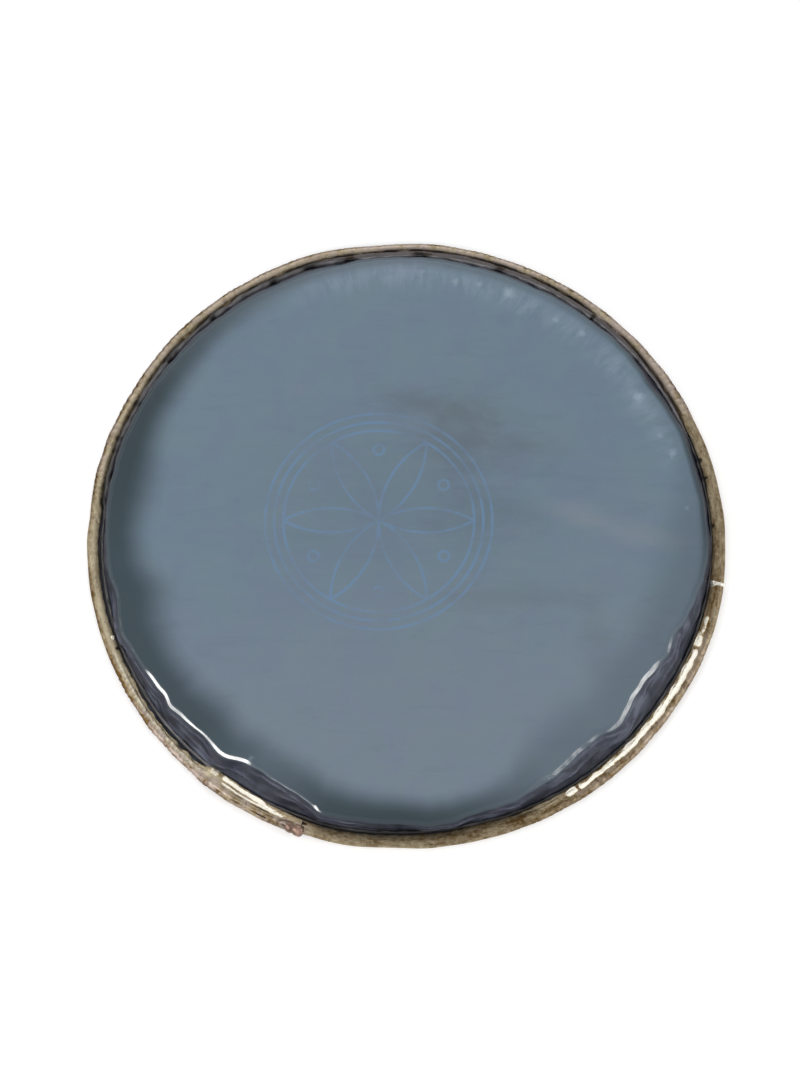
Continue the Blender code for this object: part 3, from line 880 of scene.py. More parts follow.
def shade_of(rows, angle, inward, seed):
    """A shade whose depth and reach come from rows of angle, depth and reach. It is even over the first
    quarter of its reach and then fades."""
    reach = between(rows, angle, 2) * MM * (1 + 0.04 * wander(angle, seed, 2, 14))
    return between(rows, angle) * smooth_step((reach - inward) / (0.75 * reach))


def edge_shade(angle, inward):
    """The soft dark shade inside the edge, and the narrow one at the edge itself."""
    wide, narrow = shade_of(EDGE_SHADES, angle, inward, 12), shade_of(RIM_SHADES, angle, inward, 14)
    return 1 - (1 - wide) * (1 - narrow)


def painted_edge_reflection(angle, inward):
    """A painted reflection of the back light: a pale band inside the far edge, strongest 7 mm in."""
    depth = 0.75 * stretch(angle, 14, 112, 30) * (1 + 0.3 * wander(angle, 13, 8, 40))
    return clamp(depth) * hump(inward, 7 * MM, 4.2 * MM)


def edge_gleam(angle):
    """How much white highlight is painted on the crease along the edge: fully over the lap's tuck, with a
    spot past its end, softly in three lengths over the side's, and faintly before the lap's."""
    gleam = stretch(angle, 210.3, 237.6) * (0.99 + 0.275 * wander(angle, 15, 8, 60))
    gleam += spot(angle, 253.3, 0.6)
    side = stretches(angle, (0.16, 296, 312.5, 5), (0.48, 314.4, 330.8, 4), (0.34, 334.2, 338.1, 2))
    gleam += side * (0.9 + 0.3 * wander(angle, 16, 8, 50))
    return clamp(gleam + stretches(angle, (0.26, 242.5, 252.8, 3), (0.09, 186, 208, 8)))


def build_film(settings):
    """Both faces of the film are its middle surface moved half its thickness along the normal."""
    angle, edge, (radius, height, out, up, wall) = film_middle(settings)
    half = FILM_THICKNESS / 2
    upper = round_head(angle, radius + half * out, height + half * up)
    lower = round_head(angle, radius - half * out, height - half * up)
    inward, upper_half = edge - radius, wall < 0.5
    ridge = clamp(wall_ridges(angle, (wall - WALL_TOP) / (1 - WALL_TOP)))
    layers = {
        "lift": collar_lift(angle, wall),
        "far": stretch(angle, 44, 136, 30) + 0 * wall,
        "blot": collar_blots(angle, wall),
        "ridge": ridge * (wall > WALL_TOP) * (wall < 1),
        "gleam": edge_gleam(angle) * np.isclose(wall, WHITE_LINE),
        "haze": painted_edge_reflection(angle, inward) * upper_half,
        "wall": wall,
        "shade": edge_shade(angle, inward) * upper_half,
    }
    layers = {name: np.concatenate([values, values[::-1]]) for name, values in layers.items()}
    layers["upper"] = np.repeat([0, 1], len(wall))[:, None]
    points = np.concatenate([lower, upper[::-1]])
    make_piece("film_skin", points, film_material(settings), "drum_film", layers, "poles", 60)


# Hoop

# Where the strip was crimped and its crease is deep: start, end and how soft the ends are
CRIMPED = (24, 173, 5)

# Degrees between the strip's stations, and points in each part of its section and of the wire's
STATION_STEP = 0.15
UPPER_CORNERS = 17
BEAD_CORNERS = 15
UNDER_CORNERS = 6
BORE_CORNERS = 7
WIRE_STATIONS = 721
WIRE_CORNERS = 16

# How light the brass is round the hoop, partly patina and partly painted light: angle and share of the
# lighter colour
BRASS_TONES = (
    (0, 0.31), (14, 0.46), (22, 0.47), (30, 0.38), (50, 0.42), (69, 0.55), (100, 0.55), (104, 0.45),
    (110, 0.50), (141, 0.50), (160, 0.48), (172, 0.64), (180, 0.72), (206, 0.84), (228, 0.84), (233, 0.58),
    (250, 0.46), (254, 0.44), (266, 0.46), (280, 0.34), (300, 0.22), (320, 0.25), (343, 0.32), (350, 0.34),
)

# How far the crease lies from the bead: angle and share of the plain fold's distance
CREASE_WIDTHS = (
    (24, 1.42), (35, 1.34), (43, 0.98), (60, 0.93), (75, 0.84), (87, 0.74), (96, 0.84), (108, 1.07),
    (121, 1.2), (136, 1.34), (151, 1.38), (164, 1.44), (173, 1.45), (200, 1),
)
CREASE_PLACE = 1.66 * MM

# Dark notches on the lip, beside the collar: middle and span
NOTCHES = (
    (1.8, 0.4), (11.3, 0.35), (14.9, 0.5), (50.6, 0.5), (71.3, 1.3), (86.9, 2), (100.9, 1.6), (108.7, 2),
    (116.4, 0.7), (130.1, 0.9), (142.2, 0.8), (152.7, 0.7), (160.5, 0.6), (163.1, 0.6), (173.4, 0.9),
    (202.6, 0.35),
)


def crease_share(angle):
    """How deep the crease between bead and lip is: full where the strip was crimped, shallow elsewhere."""
    share = stretch(angle, *CRIMPED) * (0.85 + 0.2 * wander(angle, 22, 8, 40))
    return clamp(share + stretches(angle, (0.3, 207, 232.4, 4), (0.3, 291, 348, 6)))


def crimp_share(angle):
    """How strongly the strip is crimped at an angle."""
    return 0.08 + stretches(
        angle, (0.8, 24, 105, 5), (1, 105, 172, 4), (1.1, 205, 233, 8),
        (0.3, 233, 250, 3), (0.45, 288, 344, 6),
    )


def crimp_wave(angle):
    """Uneven crimps, 1.9 to 4 mm apart, sharpened in their valleys."""
    wave = 0.75 * wander(angle, 21, 170, 360)
    return wave - 0.35 * wave**2


def flap_reach(angle, opened):
    """How much further in the upper lip reaches: a flap on the socket, widest where it starts, less before
    it, more on the far side and the right side, and a little at the joint."""
    flap = 1.75 * smooth_step(1.12 - away(angle, LAP_START) / 19) * opened
    flap = flap + 0.75 * stretch(angle, 26, 104, 8) * (1 + 0.15 * wander(angle, 25, 8, 50))
    flap = flap + 0.45 * stretch(angle, 279, 344, 8) * (1 + 0.2 * wander(angle, 24, 6, 30))
    rest = stretches(angle, (-0.45, 213, 231, 5), (-0.3, 174, 198, 8), (0.35, 349, 368, 6))
    return (flap + rest) * MM


def flare_share(turn):
    """How much of the socket's flare each turn round the bead has: most at 20 degrees up, none behind."""
    return np.clip(np.cos(turn - math.radians(20)), 0, None)


def fold_sizes(angle, opened, turn, settings):
    """The fold's bore radius, the half height of its mouth, how far its end curls out at each turn round the
    bead, and the reach of its lower lip, whose edge is ragged."""
    bore = BORE_RADIUS + opened * (SOCKET_BORE - BORE_RADIUS)
    mouth = MOUTH + opened * (SOCKET_MOUTH - MOUTH)
    curl = settings.flare * smooth_step((angle - LAP_END + FLARE_SPAN) / FLARE_SPAN) * (opened > 0.5)
    reach = LIP_REACH * (1 + (0.02 + 0.03 * crimp_share(angle)) * wander(angle, 31, 40, 160))
    return bore, mouth, curl * flare_share(turn), reach


def socket_grooves(angle, opened, out, up, inner, outer):
    """The two grooves along the socket's upper side, with their widths in millimetres."""
    groove = hump(out, -0.55 * MM, inner * MM) + hump(out, 1.35 * MM, outer * MM)
    return groove * opened * (up > 0) * stretch(angle, 233.5, 249.5)


def upper_lip(angle, reach, outside, lip, crease, settings):
    """The skin from the upper lip's edge to the bead's top. Its height is a mix of two curves: a quarter
    sine for the smooth fold, and for the creased one the higher of the lip and the bead's circle, which is
    drawn out to where the crease lies, with a narrow dip where they meet."""
    share = np.linspace(0, 1, UPPER_CORNERS + 1)[:-1]
    out = -reach * (1 - share)
    drawn = out / between(CREASE_WIDTHS, angle)
    circle = np.sqrt(np.clip(outside**2 - drawn**2, 0, None))
    soft = 0.12 * MM
    higher = (circle + lip + np.sqrt((circle - lip) ** 2 + soft**2)) / 2
    root = np.sqrt(outside**2 - lip**2)
    dip = settings.crease * hump(drawn, -root - 0.3 * MM, 0.22 * MM)
    even = lip + (outside - lip) * np.sin(np.pi / 2 * share) ** 0.8
    return out, crease * (higher - dip) + (1 - crease) * even


def fold_skin(angle, opened, crease, settings):
    """The outward skin of the folded strip [stations, corners], from the upper lip's edge over the bead to
    the lower lip's edge. The bead is a circle, made wider on the near right side, and the lower lip runs
    along it until it leaves for the mouth. Crimps and dents move the skin along the line from the section's
    middle, and two grooves run along the socket."""
    turn = np.radians(np.linspace(90, -90, BEAD_CORNERS))
    bore, mouth, curl, reach = fold_sizes(angle, opened, turn, settings)
    outside, lip = bore + STRIP_THICKNESS, mouth + STRIP_THICKNESS
    upper_out, upper = upper_lip(angle, reach + flap_reach(angle, opened), outside, lip, crease, settings)
    wide = 1 + 0.28 * stretch(angle, 272, 352, 8)
    under_share = np.linspace(0, 1, UNDER_CORNERS + 1)[1:]
    under_out = -reach * under_share
    under = -np.maximum(np.sqrt(np.clip(outside**2 - under_out**2, 0, None)), lip)
    out = np.concatenate([upper_out, wide * (outside + curl) * np.cos(turn), under_out], axis=1)
    up = np.concatenate([upper, (outside + curl) * np.sin(turn), under], axis=1)

    corner = np.arange(out.shape[1]) / out.shape[1]
    upper_side = 0.25 + 0.35 * np.arange(UPPER_CORNERS) / UPPER_CORNERS
    side = np.concatenate([upper_side, 0.6 + 0.4 * np.clip(np.cos(turn), 0, None), 0.2 * (1 - under_share)])
    knurl = wander(angle, 33, 150, 420, corner, 7)
    knurl = knurl * (0.5 + stretches(angle, (1, 211, 233, 8), (0.4, 289, 345, 8)))
    lift = settings.crimp * side * crimp_share(angle) * (crimp_wave(angle) + 0.4 * knurl)
    lift = lift + 0.07 * MM * wander(angle, 34, 12, 60, corner, 1.6) * side
    lift = lift - 0.2 * MM * socket_grooves(angle, opened, out, up, 0.22, 0.25)
    grow = 1 + lift / np.maximum(np.hypot(out, up), outside / 2)
    return out * grow, np.maximum(up * grow * FLAT_SHARE, -axis_height(angle))


def fold_bore(angle, opened, settings):
    """The inward skin of the folded strip, from the lower lip's edge round the wire to the upper one's."""
    turn = np.radians(np.linspace(-128, 128, BORE_CORNERS))
    bore, mouth, curl, reach = fold_sizes(angle, opened, turn, settings)
    root = np.sqrt(bore**2 - mouth**2)
    upper = reach + flap_reach(angle, opened)
    out = np.concatenate([-reach, -root, (bore + curl) * np.cos(turn), -root, -upper], axis=1)
    up = np.concatenate([-mouth, -mouth, (bore + curl) * np.sin(turn), mouth, mouth], axis=1)
    return out, up * FLAT_SHARE


def lap_highlights(angle, across):
    """The highlights painted on the socket: a small one where it starts, a broad one near the lip's edge, a
    thin one beside the bead, and one that runs out from the lip towards the bead as it fades."""
    broad = 0.9 * stretch(angle, 235, 243.4) * hump(across, 0.28, 0.18, 4)
    thin = 0.9 * stretch(angle, 235.2, 247.5) * hump(across, 0.68, 0.09)
    end = stretch(angle, 241, 250.8) * (1 - 0.75 * smooth_step(away(angle, 242) / 8.5))
    end = end * hump(across, 0.28 + 0.035 * away(angle, 241), 0.2)
    start = 0.6 * stretch(angle, 231.9, 235.4, 1) * smooth_step((0.7 - across) / 0.3)
    return broad + thin + end + clamp(start - 0.5 * spot(angle, 234.3, 0.5))


def highlight_share(angle, across):
    """Where a highlight is painted on the inner half of the strip: across runs from 0 at the lip to 1 on the
    bead.
    """
    side = stretch(angle, 300.3, 344.3, 1.5) * (0.95 + 0.2 * wander(angle, 41, 6, 60))
    side -= 0.9 * spot(angle, 303, 0.4) + 0.8 * spot(angle, 337.7, 0.5)
    side -= 0.3 * stretch(angle, 340, 344.5, 1.5)
    reach = 1 + 0.04 * wander(angle, 42, 16, 150) * stretch(angle, 296, 348, 4)
    reach = reach + stretches(angle, (-0.12, 305, 311, 4), (-0.06, 339, 346, 3), (0.06, 320, 337, 5))
    start = 0.08 + 0.06 * wander(angle, 45, 12, 90)
    band = smooth_step((reach - across) / 0.34) * smooth_step((across - start) / 0.22)
    return clamp(side) * band + clamp(lap_highlights(angle, across))


def brass_tone_and_shading(angle, across, middle, crimped, valley):
    """How light the brass is, partly patina and partly painted light and shade: BRASS_TONES round the hoop,
    a painted highlight along the bead's inner side, painted shade in crimp valleys, on the far lip and on
    the bead's outside, and darker along the right side's lip."""
    # Painted shade in crimp valleys and on the far lip
    tone = between(BRASS_TONES, angle) - 0.12 * valley * crimp_share(angle)
    tone = tone - 0.5 * crimped * smooth_step((middle - across) / 0.08)
    # Painted highlight along the bead's inner side and painted shade on its outside
    light = hump(across, 0.76 - 0.1 * stretch(angle, 204, 233, 8), 0.22)
    tone = tone + crimped * (0.4 * light - 0.35 * smooth_step((across - 1.06) / 0.25))
    # Painted shade on the bead's outer side
    outer_side = stretches(
        angle, (0.35, 108, 234, 12), (0.4, 204, 234, 8), (0.25, 187, 232, 8), (0.3, 234, 248, 4)
    )
    tone = tone - outer_side * smooth_step((across - 0.94) / 0.3)
    # More painted highlight along the bead's inner side on the left
    tone = tone + stretches(angle, (0.2, 176, 206, 10), (0.5, 204, 232.5, 6)) * light
    # Painted highlight on the lip just before the right side's highlight
    tone = tone + 0.35 * stretch(angle, 293, 301, 5) * smooth_step((0.95 - across) / 0.3)
    return tone - 0.22 * stretch(angle, 256, 352, 10) * hump(across, 0.7, 0.16)


def strip_layers(angle, opened, crease, out, up):
    """The brass's layers. Across runs from 0 at the upper lip's edge to 1 on the bead's top and 2 at its
    foot, and middle is where the crease lies. Dirt and painted shade lie in the crease, the crimp valleys,
    the socket's grooves and under the bead, with darker marks at the notches, the socket's end and the lip's
    edge."""
    past = np.arange(out.shape[1])[None] - UPPER_CORNERS
    across = 1 + past / np.where(past < 0, UPPER_CORNERS, BEAD_CORNERS - 1)
    middle = 1 - CREASE_PLACE * between(CREASE_WIDTHS, angle) / (LIP_REACH + flap_reach(angle, opened))
    crimped = stretch(angle, *CRIMPED)
    valley = smooth_step((-0.15 - crimp_wave(angle)) / 0.5)
    lead = smooth_step((middle + 0.01 - across) / 0.05) + 0.6 * smooth_step((across - 1.28) / 0.12)
    pink = stretches(
        angle, (0.9, 24, 102, 10), (0.55, 102, 168, 10), (0.8, 214, 251.3, 6), (0.35, 300, 344, 6)
    )
    narrow = 0.095 - 0.02 * stretch(angle, 100, 165, 8)
    # Painted shade and dirt in the crease
    grime_and_shade = crease * hump(across, middle, narrow) * (1 + 0.3 * wander(angle, 43, 10, 90))
    grime_and_shade = grime_and_shade + 0.2 * crease * stretch(angle, 104, 173, 4) * smooth_step((middle - across) / 0.06)
    # Painted shade in the crimp valleys at the bead's outer edge, and under the bead
    grime_and_shade = grime_and_shade + 0.6 * crimped * valley * hump(across, 1.32, 0.15) + 0.5 * (across > 1.9)
    notch = sum(spot(angle, place, span) for place, span in NOTCHES)
    grime_and_shade = grime_and_shade + 0.75 * notch * smooth_step((0.6 - across) / 0.4)
    wear_and_light = clamp(0.5 + 0.6 * wander(angle, 44, 20, 110))
    # Painted shade in the socket's grooves
    grime_and_shade = grime_and_shade + 0.75 * socket_grooves(angle, opened, out, up, 0.2, 0.22) * wear_and_light
    grime_and_shade = grime_and_shade + 0.3 * stretch(angle, 246.8, 251.3, 1.5) * opened * smooth_step((across - 0.7) / 0.2)
    return {
        "tone": brass_tone_and_shading(angle, across, middle, crimped, valley),
        "pink": clamp(pink) * smooth_step((across - 0.4) / 0.2),
        "lead": clamp(crimped * lead),
        "grime_and_shade": clamp(grime_and_shade + 0.35 * hump(across, 0, 0.08)),
        "painted_highlight": highlight_share(angle, across),
    }


def build_strip(name, node, start, end, opened_by, crease_by, settings, material):
    """One length of folded strip: its outward and inward skins make one closed section at each station."""
    angle = np.linspace(start, end, round((end - start) / STATION_STEP) + 1)[:, None]
    opened, crease = opened_by(angle), crease_by(angle)
    outer, outer_up = fold_skin(angle, opened, crease, settings)
    inner, inner_up = fold_bore(angle, opened, settings)
    out, up = np.concatenate([outer, inner], axis=1), np.concatenate([outer_up, inner_up], axis=1)
    points = about_hoop(angle, out, up)
    # The inward skin, inside the fold, is painted duller and darker as shade
    inside = {"tone": 0.2, "grime_and_shade": 0.5}
    layers = {
        label: np.concatenate([values, np.full_like(inner, inside.get(label, 0))], axis=1)
        for label, values in strip_layers(angle, opened, crease, outer, outer_up).items()
    }
    make_piece(name, points, material, node, layers)


def build_hoop(settings):
    """Both lengths of strip. The short one starts inside the long one's socket, where its crease is pressed
    in fully so that it stays clear."""
    material = brass_material(settings)
    half_gap = math.degrees(0.1 * MM / HOOP_AXIS)

    def short_crease(angle):
        """The short strip's crease: none but the pressed one up to the lap's end, then the usual one."""
        pressed = 1 - smooth_step((angle - LAP_END) / 1.5)
        return np.maximum(crease_share(angle) * (angle > LAP_END + 1), pressed)

    for name, *shape in (
        ("long", BUTT_ANGLE - 360 + half_gap, LAP_END, socket_share, crease_share),
        ("short", LAP_START, BUTT_ANGLE - half_gap, np.zeros_like, short_crease),
    ):
        build_strip(f"strip_{name}", f"rim_strip_{name}", *shape, settings, material)


def build_wire():
    """The round wire inside the fold, with its cut ends face to face."""
    half = math.degrees(SEAT_GAP / 2 / HOOP_AXIS)
    angle = np.linspace(WIRE_JOINT_ANGLE + half, WIRE_JOINT_ANGLE + 360 - half, WIRE_STATIONS)[:, None]
    turn = np.radians(np.arange(WIRE_CORNERS)[None] * -360 / WIRE_CORNERS)
    points = about_hoop(angle, WIRE_RADIUS * np.cos(turn), WIRE_RADIUS * np.sin(turn))
    make_piece("wire_core", points, wire_material(), "core_wire")


# Resin and brazes

# The resin's grid, its radius, and its height over the hoop's centre line
RESIN_STEP = 0.25
RESIN_CORNERS = 16
RESIN_RADIUS = 104.95 * MM
RESIN_LIFT = 0.72 * MM

# Points along a braze and round its section
BRAZE_STATIONS = 25
BRAZE_CORNERS = 41


def build_resin(settings):
    """The resin: an uneven bead round the collar's foot, with dust and painted light on its inner side, in
    the collar's shade. Its section is an ellipse whose width and height wander. It swells at the notches,
    and runs out over the lip on the far left."""
    angle = np.arange(round(360 / RESIN_STEP))[:, None] * RESIN_STEP
    turn = np.radians(np.arange(RESIN_CORNERS)[None] * -360 / RESIN_CORNERS)
    swell = sum(spot(angle, middle, span) for middle, span in NOTCHES)
    over = stretch(angle, 104, 173, 8) * (1 + 0.2 * wander(angle, 54, 10, 70))
    wide = settings.resin_width / 2 * (1 + 0.16 * wander(angle, 51, 12, 120) + 0.25 * swell)
    wide = wide + 0.45 * MM * over
    tall = 0.55 * MM * (1 + 0.18 * wander(angle, 52, 12, 120) + 0.3 * swell) + 0.2 * MM * over
    tall = tall + 0.4 * MM * stretch(angle, 350, 535, 20)
    near = stretch(angle, 178, 346, 12)
    fill = stretch(angle, 48, 250, 10)
    wide, tall = wide + 0.1 * MM * near + 0.08 * MM * fill, tall + 0.12 * MM * near + 0.15 * MM * fill
    middle = RESIN_RADIUS - HOOP_AXIS + 0.45 * MM * over - 0.12 * MM * near - 0.08 * MM * fill
    lumps = 1 + 0.06 * wander(angle, 53, 60, 200, turn / (2 * np.pi), 3)
    wide, tall = wide * lumps, tall * lumps
    points = about_hoop(angle, middle + wide * np.cos(turn), RESIN_LIFT + tall * np.sin(turn))
    # Dust and painted light towards the collar and on top, darker at the notches
    dust = 0.95 - 0.5 * stretch(angle, 252, 345, 16) - 0.35 * stretch(angle, 108, 150, 10)
    dust = dust * smooth_step((0.75 - np.cos(turn)) / 0.9) + 0.25 * over - 0.7 * clamp(swell)
    # Painted light on the inner side and top, against the collar's shade
    inner = smooth_step((0.2 - np.cos(turn)) / 0.8)
    pale = inner * stretches(angle, (0.55, 22, 104, 12), (0.4, 104, 160, 12), (0.4, 172, 236, 12))
    pale = pale + stretches(angle, (0.45, 22, 104, 12), (0.06, 104, 160, 12), (0.25, 217, 232, 6))
    pale = pale * (1 - clamp(1.2 * swell)) * smooth_step((0.95 - np.cos(turn)) / 0.7)
    layers = {"dust": dust, "pale": pale}
    make_piece("resin_line", points, resin_material(settings), "resin_bead", layers, "meet")


def there_and_back(outer, inner):
    """Rows that run along the outer skin and back along the inner one."""
    return np.concatenate([outer, inner[:, ::-1]], axis=1)


def build_patch(name, node, slot, start, end, first, last, depth, hoop, material, seed):
    """A patch of braze on the plain fold: the fold's own skin between two corners, moved out by the depth.
    The depth falls to nothing at all four sides as the root of one minus the square of the distance, and
    wanders a little. The patch narrows from the lip to the bead's outside, and is duller at the lip."""
    angle = np.linspace(start, end, BRAZE_STATIONS)[:, None]
    corners = np.arange(first, last)
    fine = np.linspace(first, last - 1, BRAZE_CORNERS)
    out, up = (
        np.stack([np.interp(fine, corners, row) for row in part[:, first:last]])
        for part in fold_skin(angle, 0 * angle, crease_share(angle), hoop)
    )
    step_out, step_up = np.gradient(out, axis=1), np.gradient(up, axis=1)
    size = np.hypot(step_out, step_up)
    normal_out, normal_up = -step_up / size, step_out / size
    along = np.linspace(-1, 1, BRAZE_STATIONS)[:, None]
    around = np.linspace(-1, 1, BRAZE_CORNERS)[None]
    width = 0.48 + 0.52 * smooth_step((0.1 - around) / 0.9)
    form = np.sqrt(clamp(1 - (along / width) ** 2)) * clamp(1 - around**4) ** 0.5
    form = form * (1 + 0.1 * wander(90 * (around + 1), seed, 2, 9, along, 1))
    thick = -0.06 * MM + (depth + 0.09 * MM) * form
    sunk = -0.15 * MM
    outer = about_hoop(angle, out + thick * normal_out, up + thick * normal_up)
    inner = about_hoop(angle, out + sunk * normal_out, up + sunk * normal_up)
    dull = 0.75 * smooth_step((-0.15 - around) / 0.4) * smooth_step((np.abs(along) - 0.15) / 0.4)
    layers = {"dull": there_and_back(dull, dull)}
    make_piece(name, there_and_back(outer, inner), material, node, layers)


def build_lap(settings, hoop, material):
    """The copper-coloured bulb at the socket's end. Along the hoop its outside rises from the socket's skin
    as a quarter ellipse, with a lump and a dip on it, and falls to the plain strip as another. Round the
    section it thins out at both sides."""
    reach, back = 1.35 * MM, 5 * MM
    behind, ahead = np.linspace(0, np.pi / 2, 17), np.linspace(0.2, np.pi / 2, 13)
    along = np.concatenate([-back * np.cos(behind), reach * np.sin(ahead)])[:, None]
    angle = LAP_END + np.degrees(along / HOOP_AXIS)
    around = np.linspace(1, -1, BRAZE_CORNERS)[None]
    turn = np.radians(43.5 + 68.5 * around)
    lump = hump(along, -3.6 * MM, 1 * MM) - 1.6 * hump(along, -2.1 * MM, 0.5 * MM)
    flare = flare_share(turn) - 0.25 * smooth_step((-along - 1.2 * MM) / (1.5 * MM))
    rim = SOCKET_RADIUS + settings.braze / 3 + hoop.flare * flare + 0.22 * MM * lump
    form = np.sqrt(clamp(1 - (np.clip(along, 0, None) / reach) ** 2))
    rise = np.sqrt(clamp(1 - (np.clip(-along, 0, None) / back) ** 2))
    side = clamp(1 - around**4) ** 0.5
    rough = 1 + 0.03 * wander(np.degrees(turn), 63, 2, 9, along / MM, 0.3)
    foot = np.where(along < 0, SOCKET_BORE, BEAD_RADIUS) - 0.1 * MM
    outer = foot + (rim - foot) * side * np.minimum(form, 0.3 + 0.7 * rise) * rough
    inner = foot - 0.05 * MM + 0 * turn
    outer, inner = (
        about_hoop(angle, radius * np.cos(turn), radius * np.sin(turn) * FLAT_SHARE)
        for radius in (outer, inner)
    )
    dull = 0.55 + 0.3 * smooth_step((-along / MM - 0.6) / 0.9) + 0.3 * smooth_step((along / MM - 0.7) / 0.4)
    # Painted highlight: less dull just behind the bulb's end
    dull = dull - 0.45 * hump(along, -0.2 * MM, 0.45 * MM)
    dull = clamp(dull + 0.35 * wander(np.degrees(turn), 64, 2, 9, along / MM, 0.4))
    layers = {"dull": there_and_back(dull, dull)}
    make_piece("lap_run", there_and_back(outer, inner), material, "lap_braze", layers)


def build_tack(material):
    """A drop on the upper lip: a squashed ball, half sunk, whose radius wanders."""
    turn = np.radians(np.arange(24)[None] * -15)
    lift = np.radians(np.linspace(86, -60, 14))[:, None]
    rough = 1 + 0.06 * wander(np.degrees(turn), 61, 2, 6, lift / np.pi, 1)
    along = 0.95 * MM * rough * np.cos(lift) * np.cos(turn)
    across = 0.75 * MM * rough * np.cos(lift) * np.sin(turn)
    angle = TACK_ANGLE - np.degrees(along / HOOP_AXIS)
    out = -LIP_REACH + 0.65 * MM + across
    points = about_hoop(angle, out, 0.95 * MM + 0.62 * MM * rough * np.sin(lift))
    make_piece("tack_drop", points, material, "tack_braze", ends="poles")


def build_joins(settings, hoop):
    """The resin, the seam over the butt joint, the copper-coloured run at the lap and the tack."""
    build_resin(settings)
    silver = braze_material("silver_braze", settings.silver, 0.22)
    copper = braze_material("copper_braze", settings.copper, 0.28)
    half = math.degrees(settings.seam / 2 / HOOP_AXIS)
    start, end, last = BUTT_ANGLE - half, BUTT_ANGLE + half, UPPER_CORNERS + 11
    names = "butt_seam", "butt_braze", "silver_braze"
    build_patch(*names, start, end, 0, last, settings.braze, hoop, silver, 62)
    build_lap(settings, hoop, copper)
    build_tack(silver)


# Studio

# Half the floor's width, and how far the lights stand from the head
FLOOR_HALF = 3
LIGHT_DISTANCE = 0.9

# The camera that fits the photo: its height, the focal length and the shift, in its pixels
PHOTO_HEIGHT = 1091
PHOTO_FOCAL = 2891.7
PHOTO_SHIFT = (-4.98, -8.19)


def toward(azimuth, elevation):
    """The direction at an azimuth, counter-clockwise from +X, and an elevation over the floor."""
    turn, lift = math.radians(azimuth), math.radians(elevation)
    return Vector((math.cos(turn) * math.cos(lift), math.sin(turn) * math.cos(lift), math.sin(lift)))


def softbox(name, azimuth, elevation, width, height, radiance):
    """A soft rectangular light that faces the head. Its power is pi times its area times its radiance."""
    lamp = bpy.data.lights.new(name, "AREA")
    lamp.shape = "RECTANGLE"
    lamp.size, lamp.size_y = width, height
    lamp.energy = math.pi * width * height * radiance
    light = bpy.data.objects.new(name, lamp)
    direction = toward(azimuth, elevation)
    light.location = direction * LIGHT_DISTANCE
    light.rotation_euler = direction.to_track_quat("Z", "Y").to_euler()
    light.visible_camera = False
    bpy.context.scene.collection.objects.link(light)


def build_studio(settings):
    """The floor, the world, three softboxes and the camera."""
    corners = [(x * FLOOR_HALF, y * FLOOR_HALF, 0) for x, y in ((-1, -1), (1, -1), (1, 1), (-1, 1))]
    data = bpy.data.meshes.new("studio_floor")
    data.from_pydata(corners, [], [(0, 1, 2, 3)])
    data.materials.append(floor_material(settings))
    floor = bpy.data.objects.new("studio_floor", data)
    bpy.context.scene.collection.objects.link(floor)

    scene = bpy.context.scene
    world = bpy.data.worlds.new("studio")
    scene.world = world
    world.use_nodes = True
    background = world.node_tree.nodes["Background"]
    background.inputs["Color"].default_value = (1, 1, 1, 1)
    background.inputs["Strength"].default_value = settings.world
    scene.view_settings.view_transform = "Standard"

    softbox("left_softbox", 211.5, 29, 0.64, 0.20, settings.left)
    softbox("right_softbox", 336, 29, 0.60, 0.26, settings.right)
    softbox("back_softbox", 104, 46, 1.00, 0.26, settings.back)

    view = bpy.data.cameras.new("camera")
    camera = bpy.data.objects.new("camera", view)
    scene.collection.objects.link(camera)
    scene.camera = camera
    back = Vector((0, -math.sin(settings.tilt), math.cos(settings.tilt)))
    camera.location = back * settings.distance
    camera.rotation_euler = (settings.tilt, 0, 0)
    view.sensor_width = 36
    view.lens = PHOTO_FOCAL / PHOTO_HEIGHT * view.sensor_width * settings.distance
    view.shift_x, view.shift_y = (shift / PHOTO_HEIGHT for shift in PHOTO_SHIFT)


# Add-on


class DRUMHEAD_OT_film(bpy.types.Operator):
    """Build the film with its playing face and pleated collar"""

    bl_idname = "drumhead.film"
    bl_label = "Film"

    def execute(self, context):
        build_film(context.scene.drum_film)
        return {"FINISHED"}


class DRUMHEAD_OT_hoop(bpy.types.Operator):
    """Build both lengths of the folded brass strip"""

    bl_idname = "drumhead.hoop"
    bl_label = "Folded strips"

    def execute(self, context):
        build_hoop(context.scene.drum_hoop)
        return {"FINISHED"}


class DRUMHEAD_OT_wire(bpy.types.Operator):
    """Build the wire inside the strips"""

    bl_idname = "drumhead.wire"
    bl_label = "Core wire"

    def execute(self, context):
        build_wire()
        return {"FINISHED"}


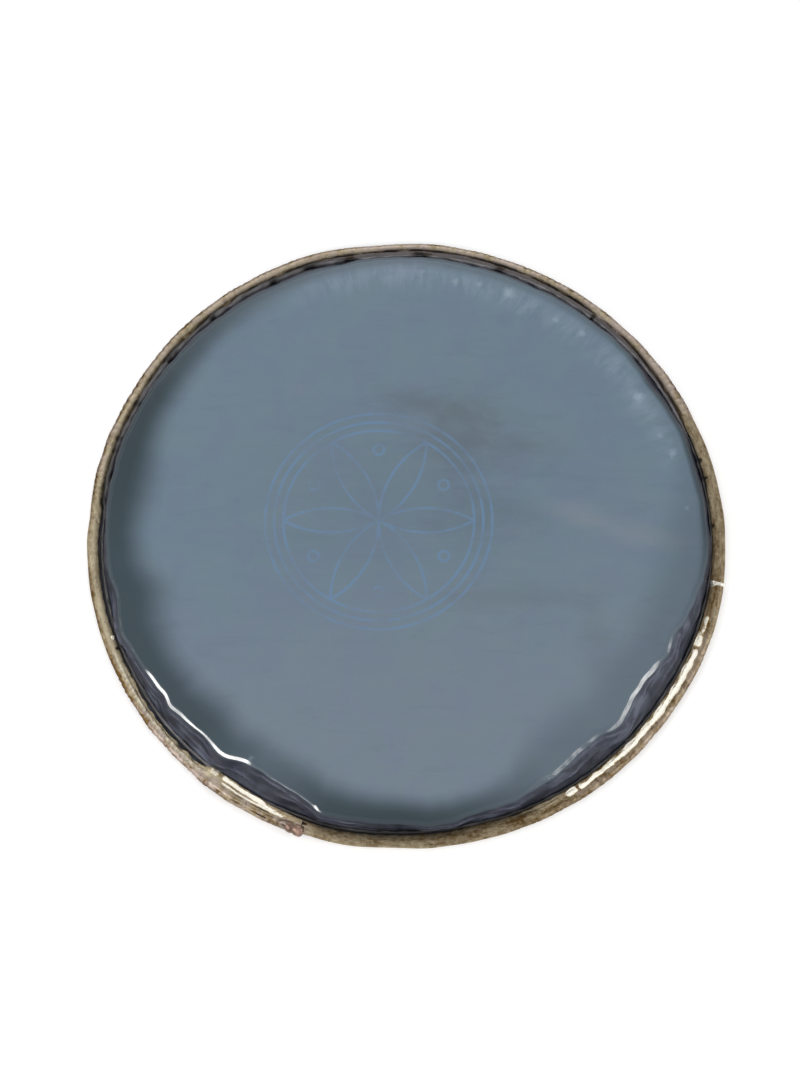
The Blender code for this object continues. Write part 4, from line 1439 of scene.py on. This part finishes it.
class DRUMHEAD_OT_joins(bpy.types.Operator):
    """Build the resin and the three brazes"""

    bl_idname = "drumhead.joins"
    bl_label = "Resin and brazes"

    def execute(self, context):
        build_joins(context.scene.drum_joins, context.scene.drum_hoop)
        return {"FINISHED"}


class DRUMHEAD_OT_studio(bpy.types.Operator):
    """Build the floor, the lights and the camera"""

    bl_idname = "drumhead.studio"
    bl_label = "Studio"

    def execute(self, context):
        build_studio(context.scene.drum_studio)
        return {"FINISHED"}


class VIEW3D_PT_drumhead(bpy.types.Panel):
    """Lists the pieces' settings and operators"""

    bl_idname = "VIEW3D_PT_drumhead"
    bl_label = "Drum head"
    bl_space_type = "VIEW_3D"
    bl_region_type = "UI"
    bl_category = "Drum head"

    def draw(self, context):
        for title, holder, operators in SECTIONS:
            box = self.layout.box()
            box.label(text=title)
            settings = getattr(context.scene, holder)
            for key in settings.bl_rna.properties.keys():
                if key not in ("rna_type", "name"):
                    box.prop(settings, key)
            for operator in operators:
                box.operator(operator)


SECTIONS = (
    ("Film", "drum_film", ("drumhead.film",)),
    ("Hoop", "drum_hoop", ("drumhead.hoop", "drumhead.wire")),
    ("Resin and brazes", "drum_joins", ("drumhead.joins",)),
    ("Studio", "drum_studio", ("drumhead.studio",)),
)
HOLDERS = {
    "drum_film": FilmSettings,
    "drum_hoop": HoopSettings,
    "drum_joins": JoinSettings,
    "drum_studio": StudioSettings,
}
CLASSES = (
    *HOLDERS.values(),
    DRUMHEAD_OT_film,
    DRUMHEAD_OT_hoop,
    DRUMHEAD_OT_wire,
    DRUMHEAD_OT_joins,
    DRUMHEAD_OT_studio,
    VIEW3D_PT_drumhead,
)


def register():
    for cls in CLASSES:
        bpy.utils.register_class(cls)
    for holder, cls in HOLDERS.items():
        setattr(bpy.types.Scene, holder, bpy.props.PointerProperty(type=cls))


def unregister():
    for holder in HOLDERS:
        delattr(bpy.types.Scene, holder)
    for cls in reversed(CLASSES):
        bpy.utils.unregister_class(cls)


def main():
    register()
    bpy.ops.drumhead.film()
    bpy.ops.drumhead.hoop()
    bpy.ops.drumhead.wire()
    bpy.ops.drumhead.joins()
    bpy.ops.drumhead.studio()


if __name__ == "__main__":
    main()
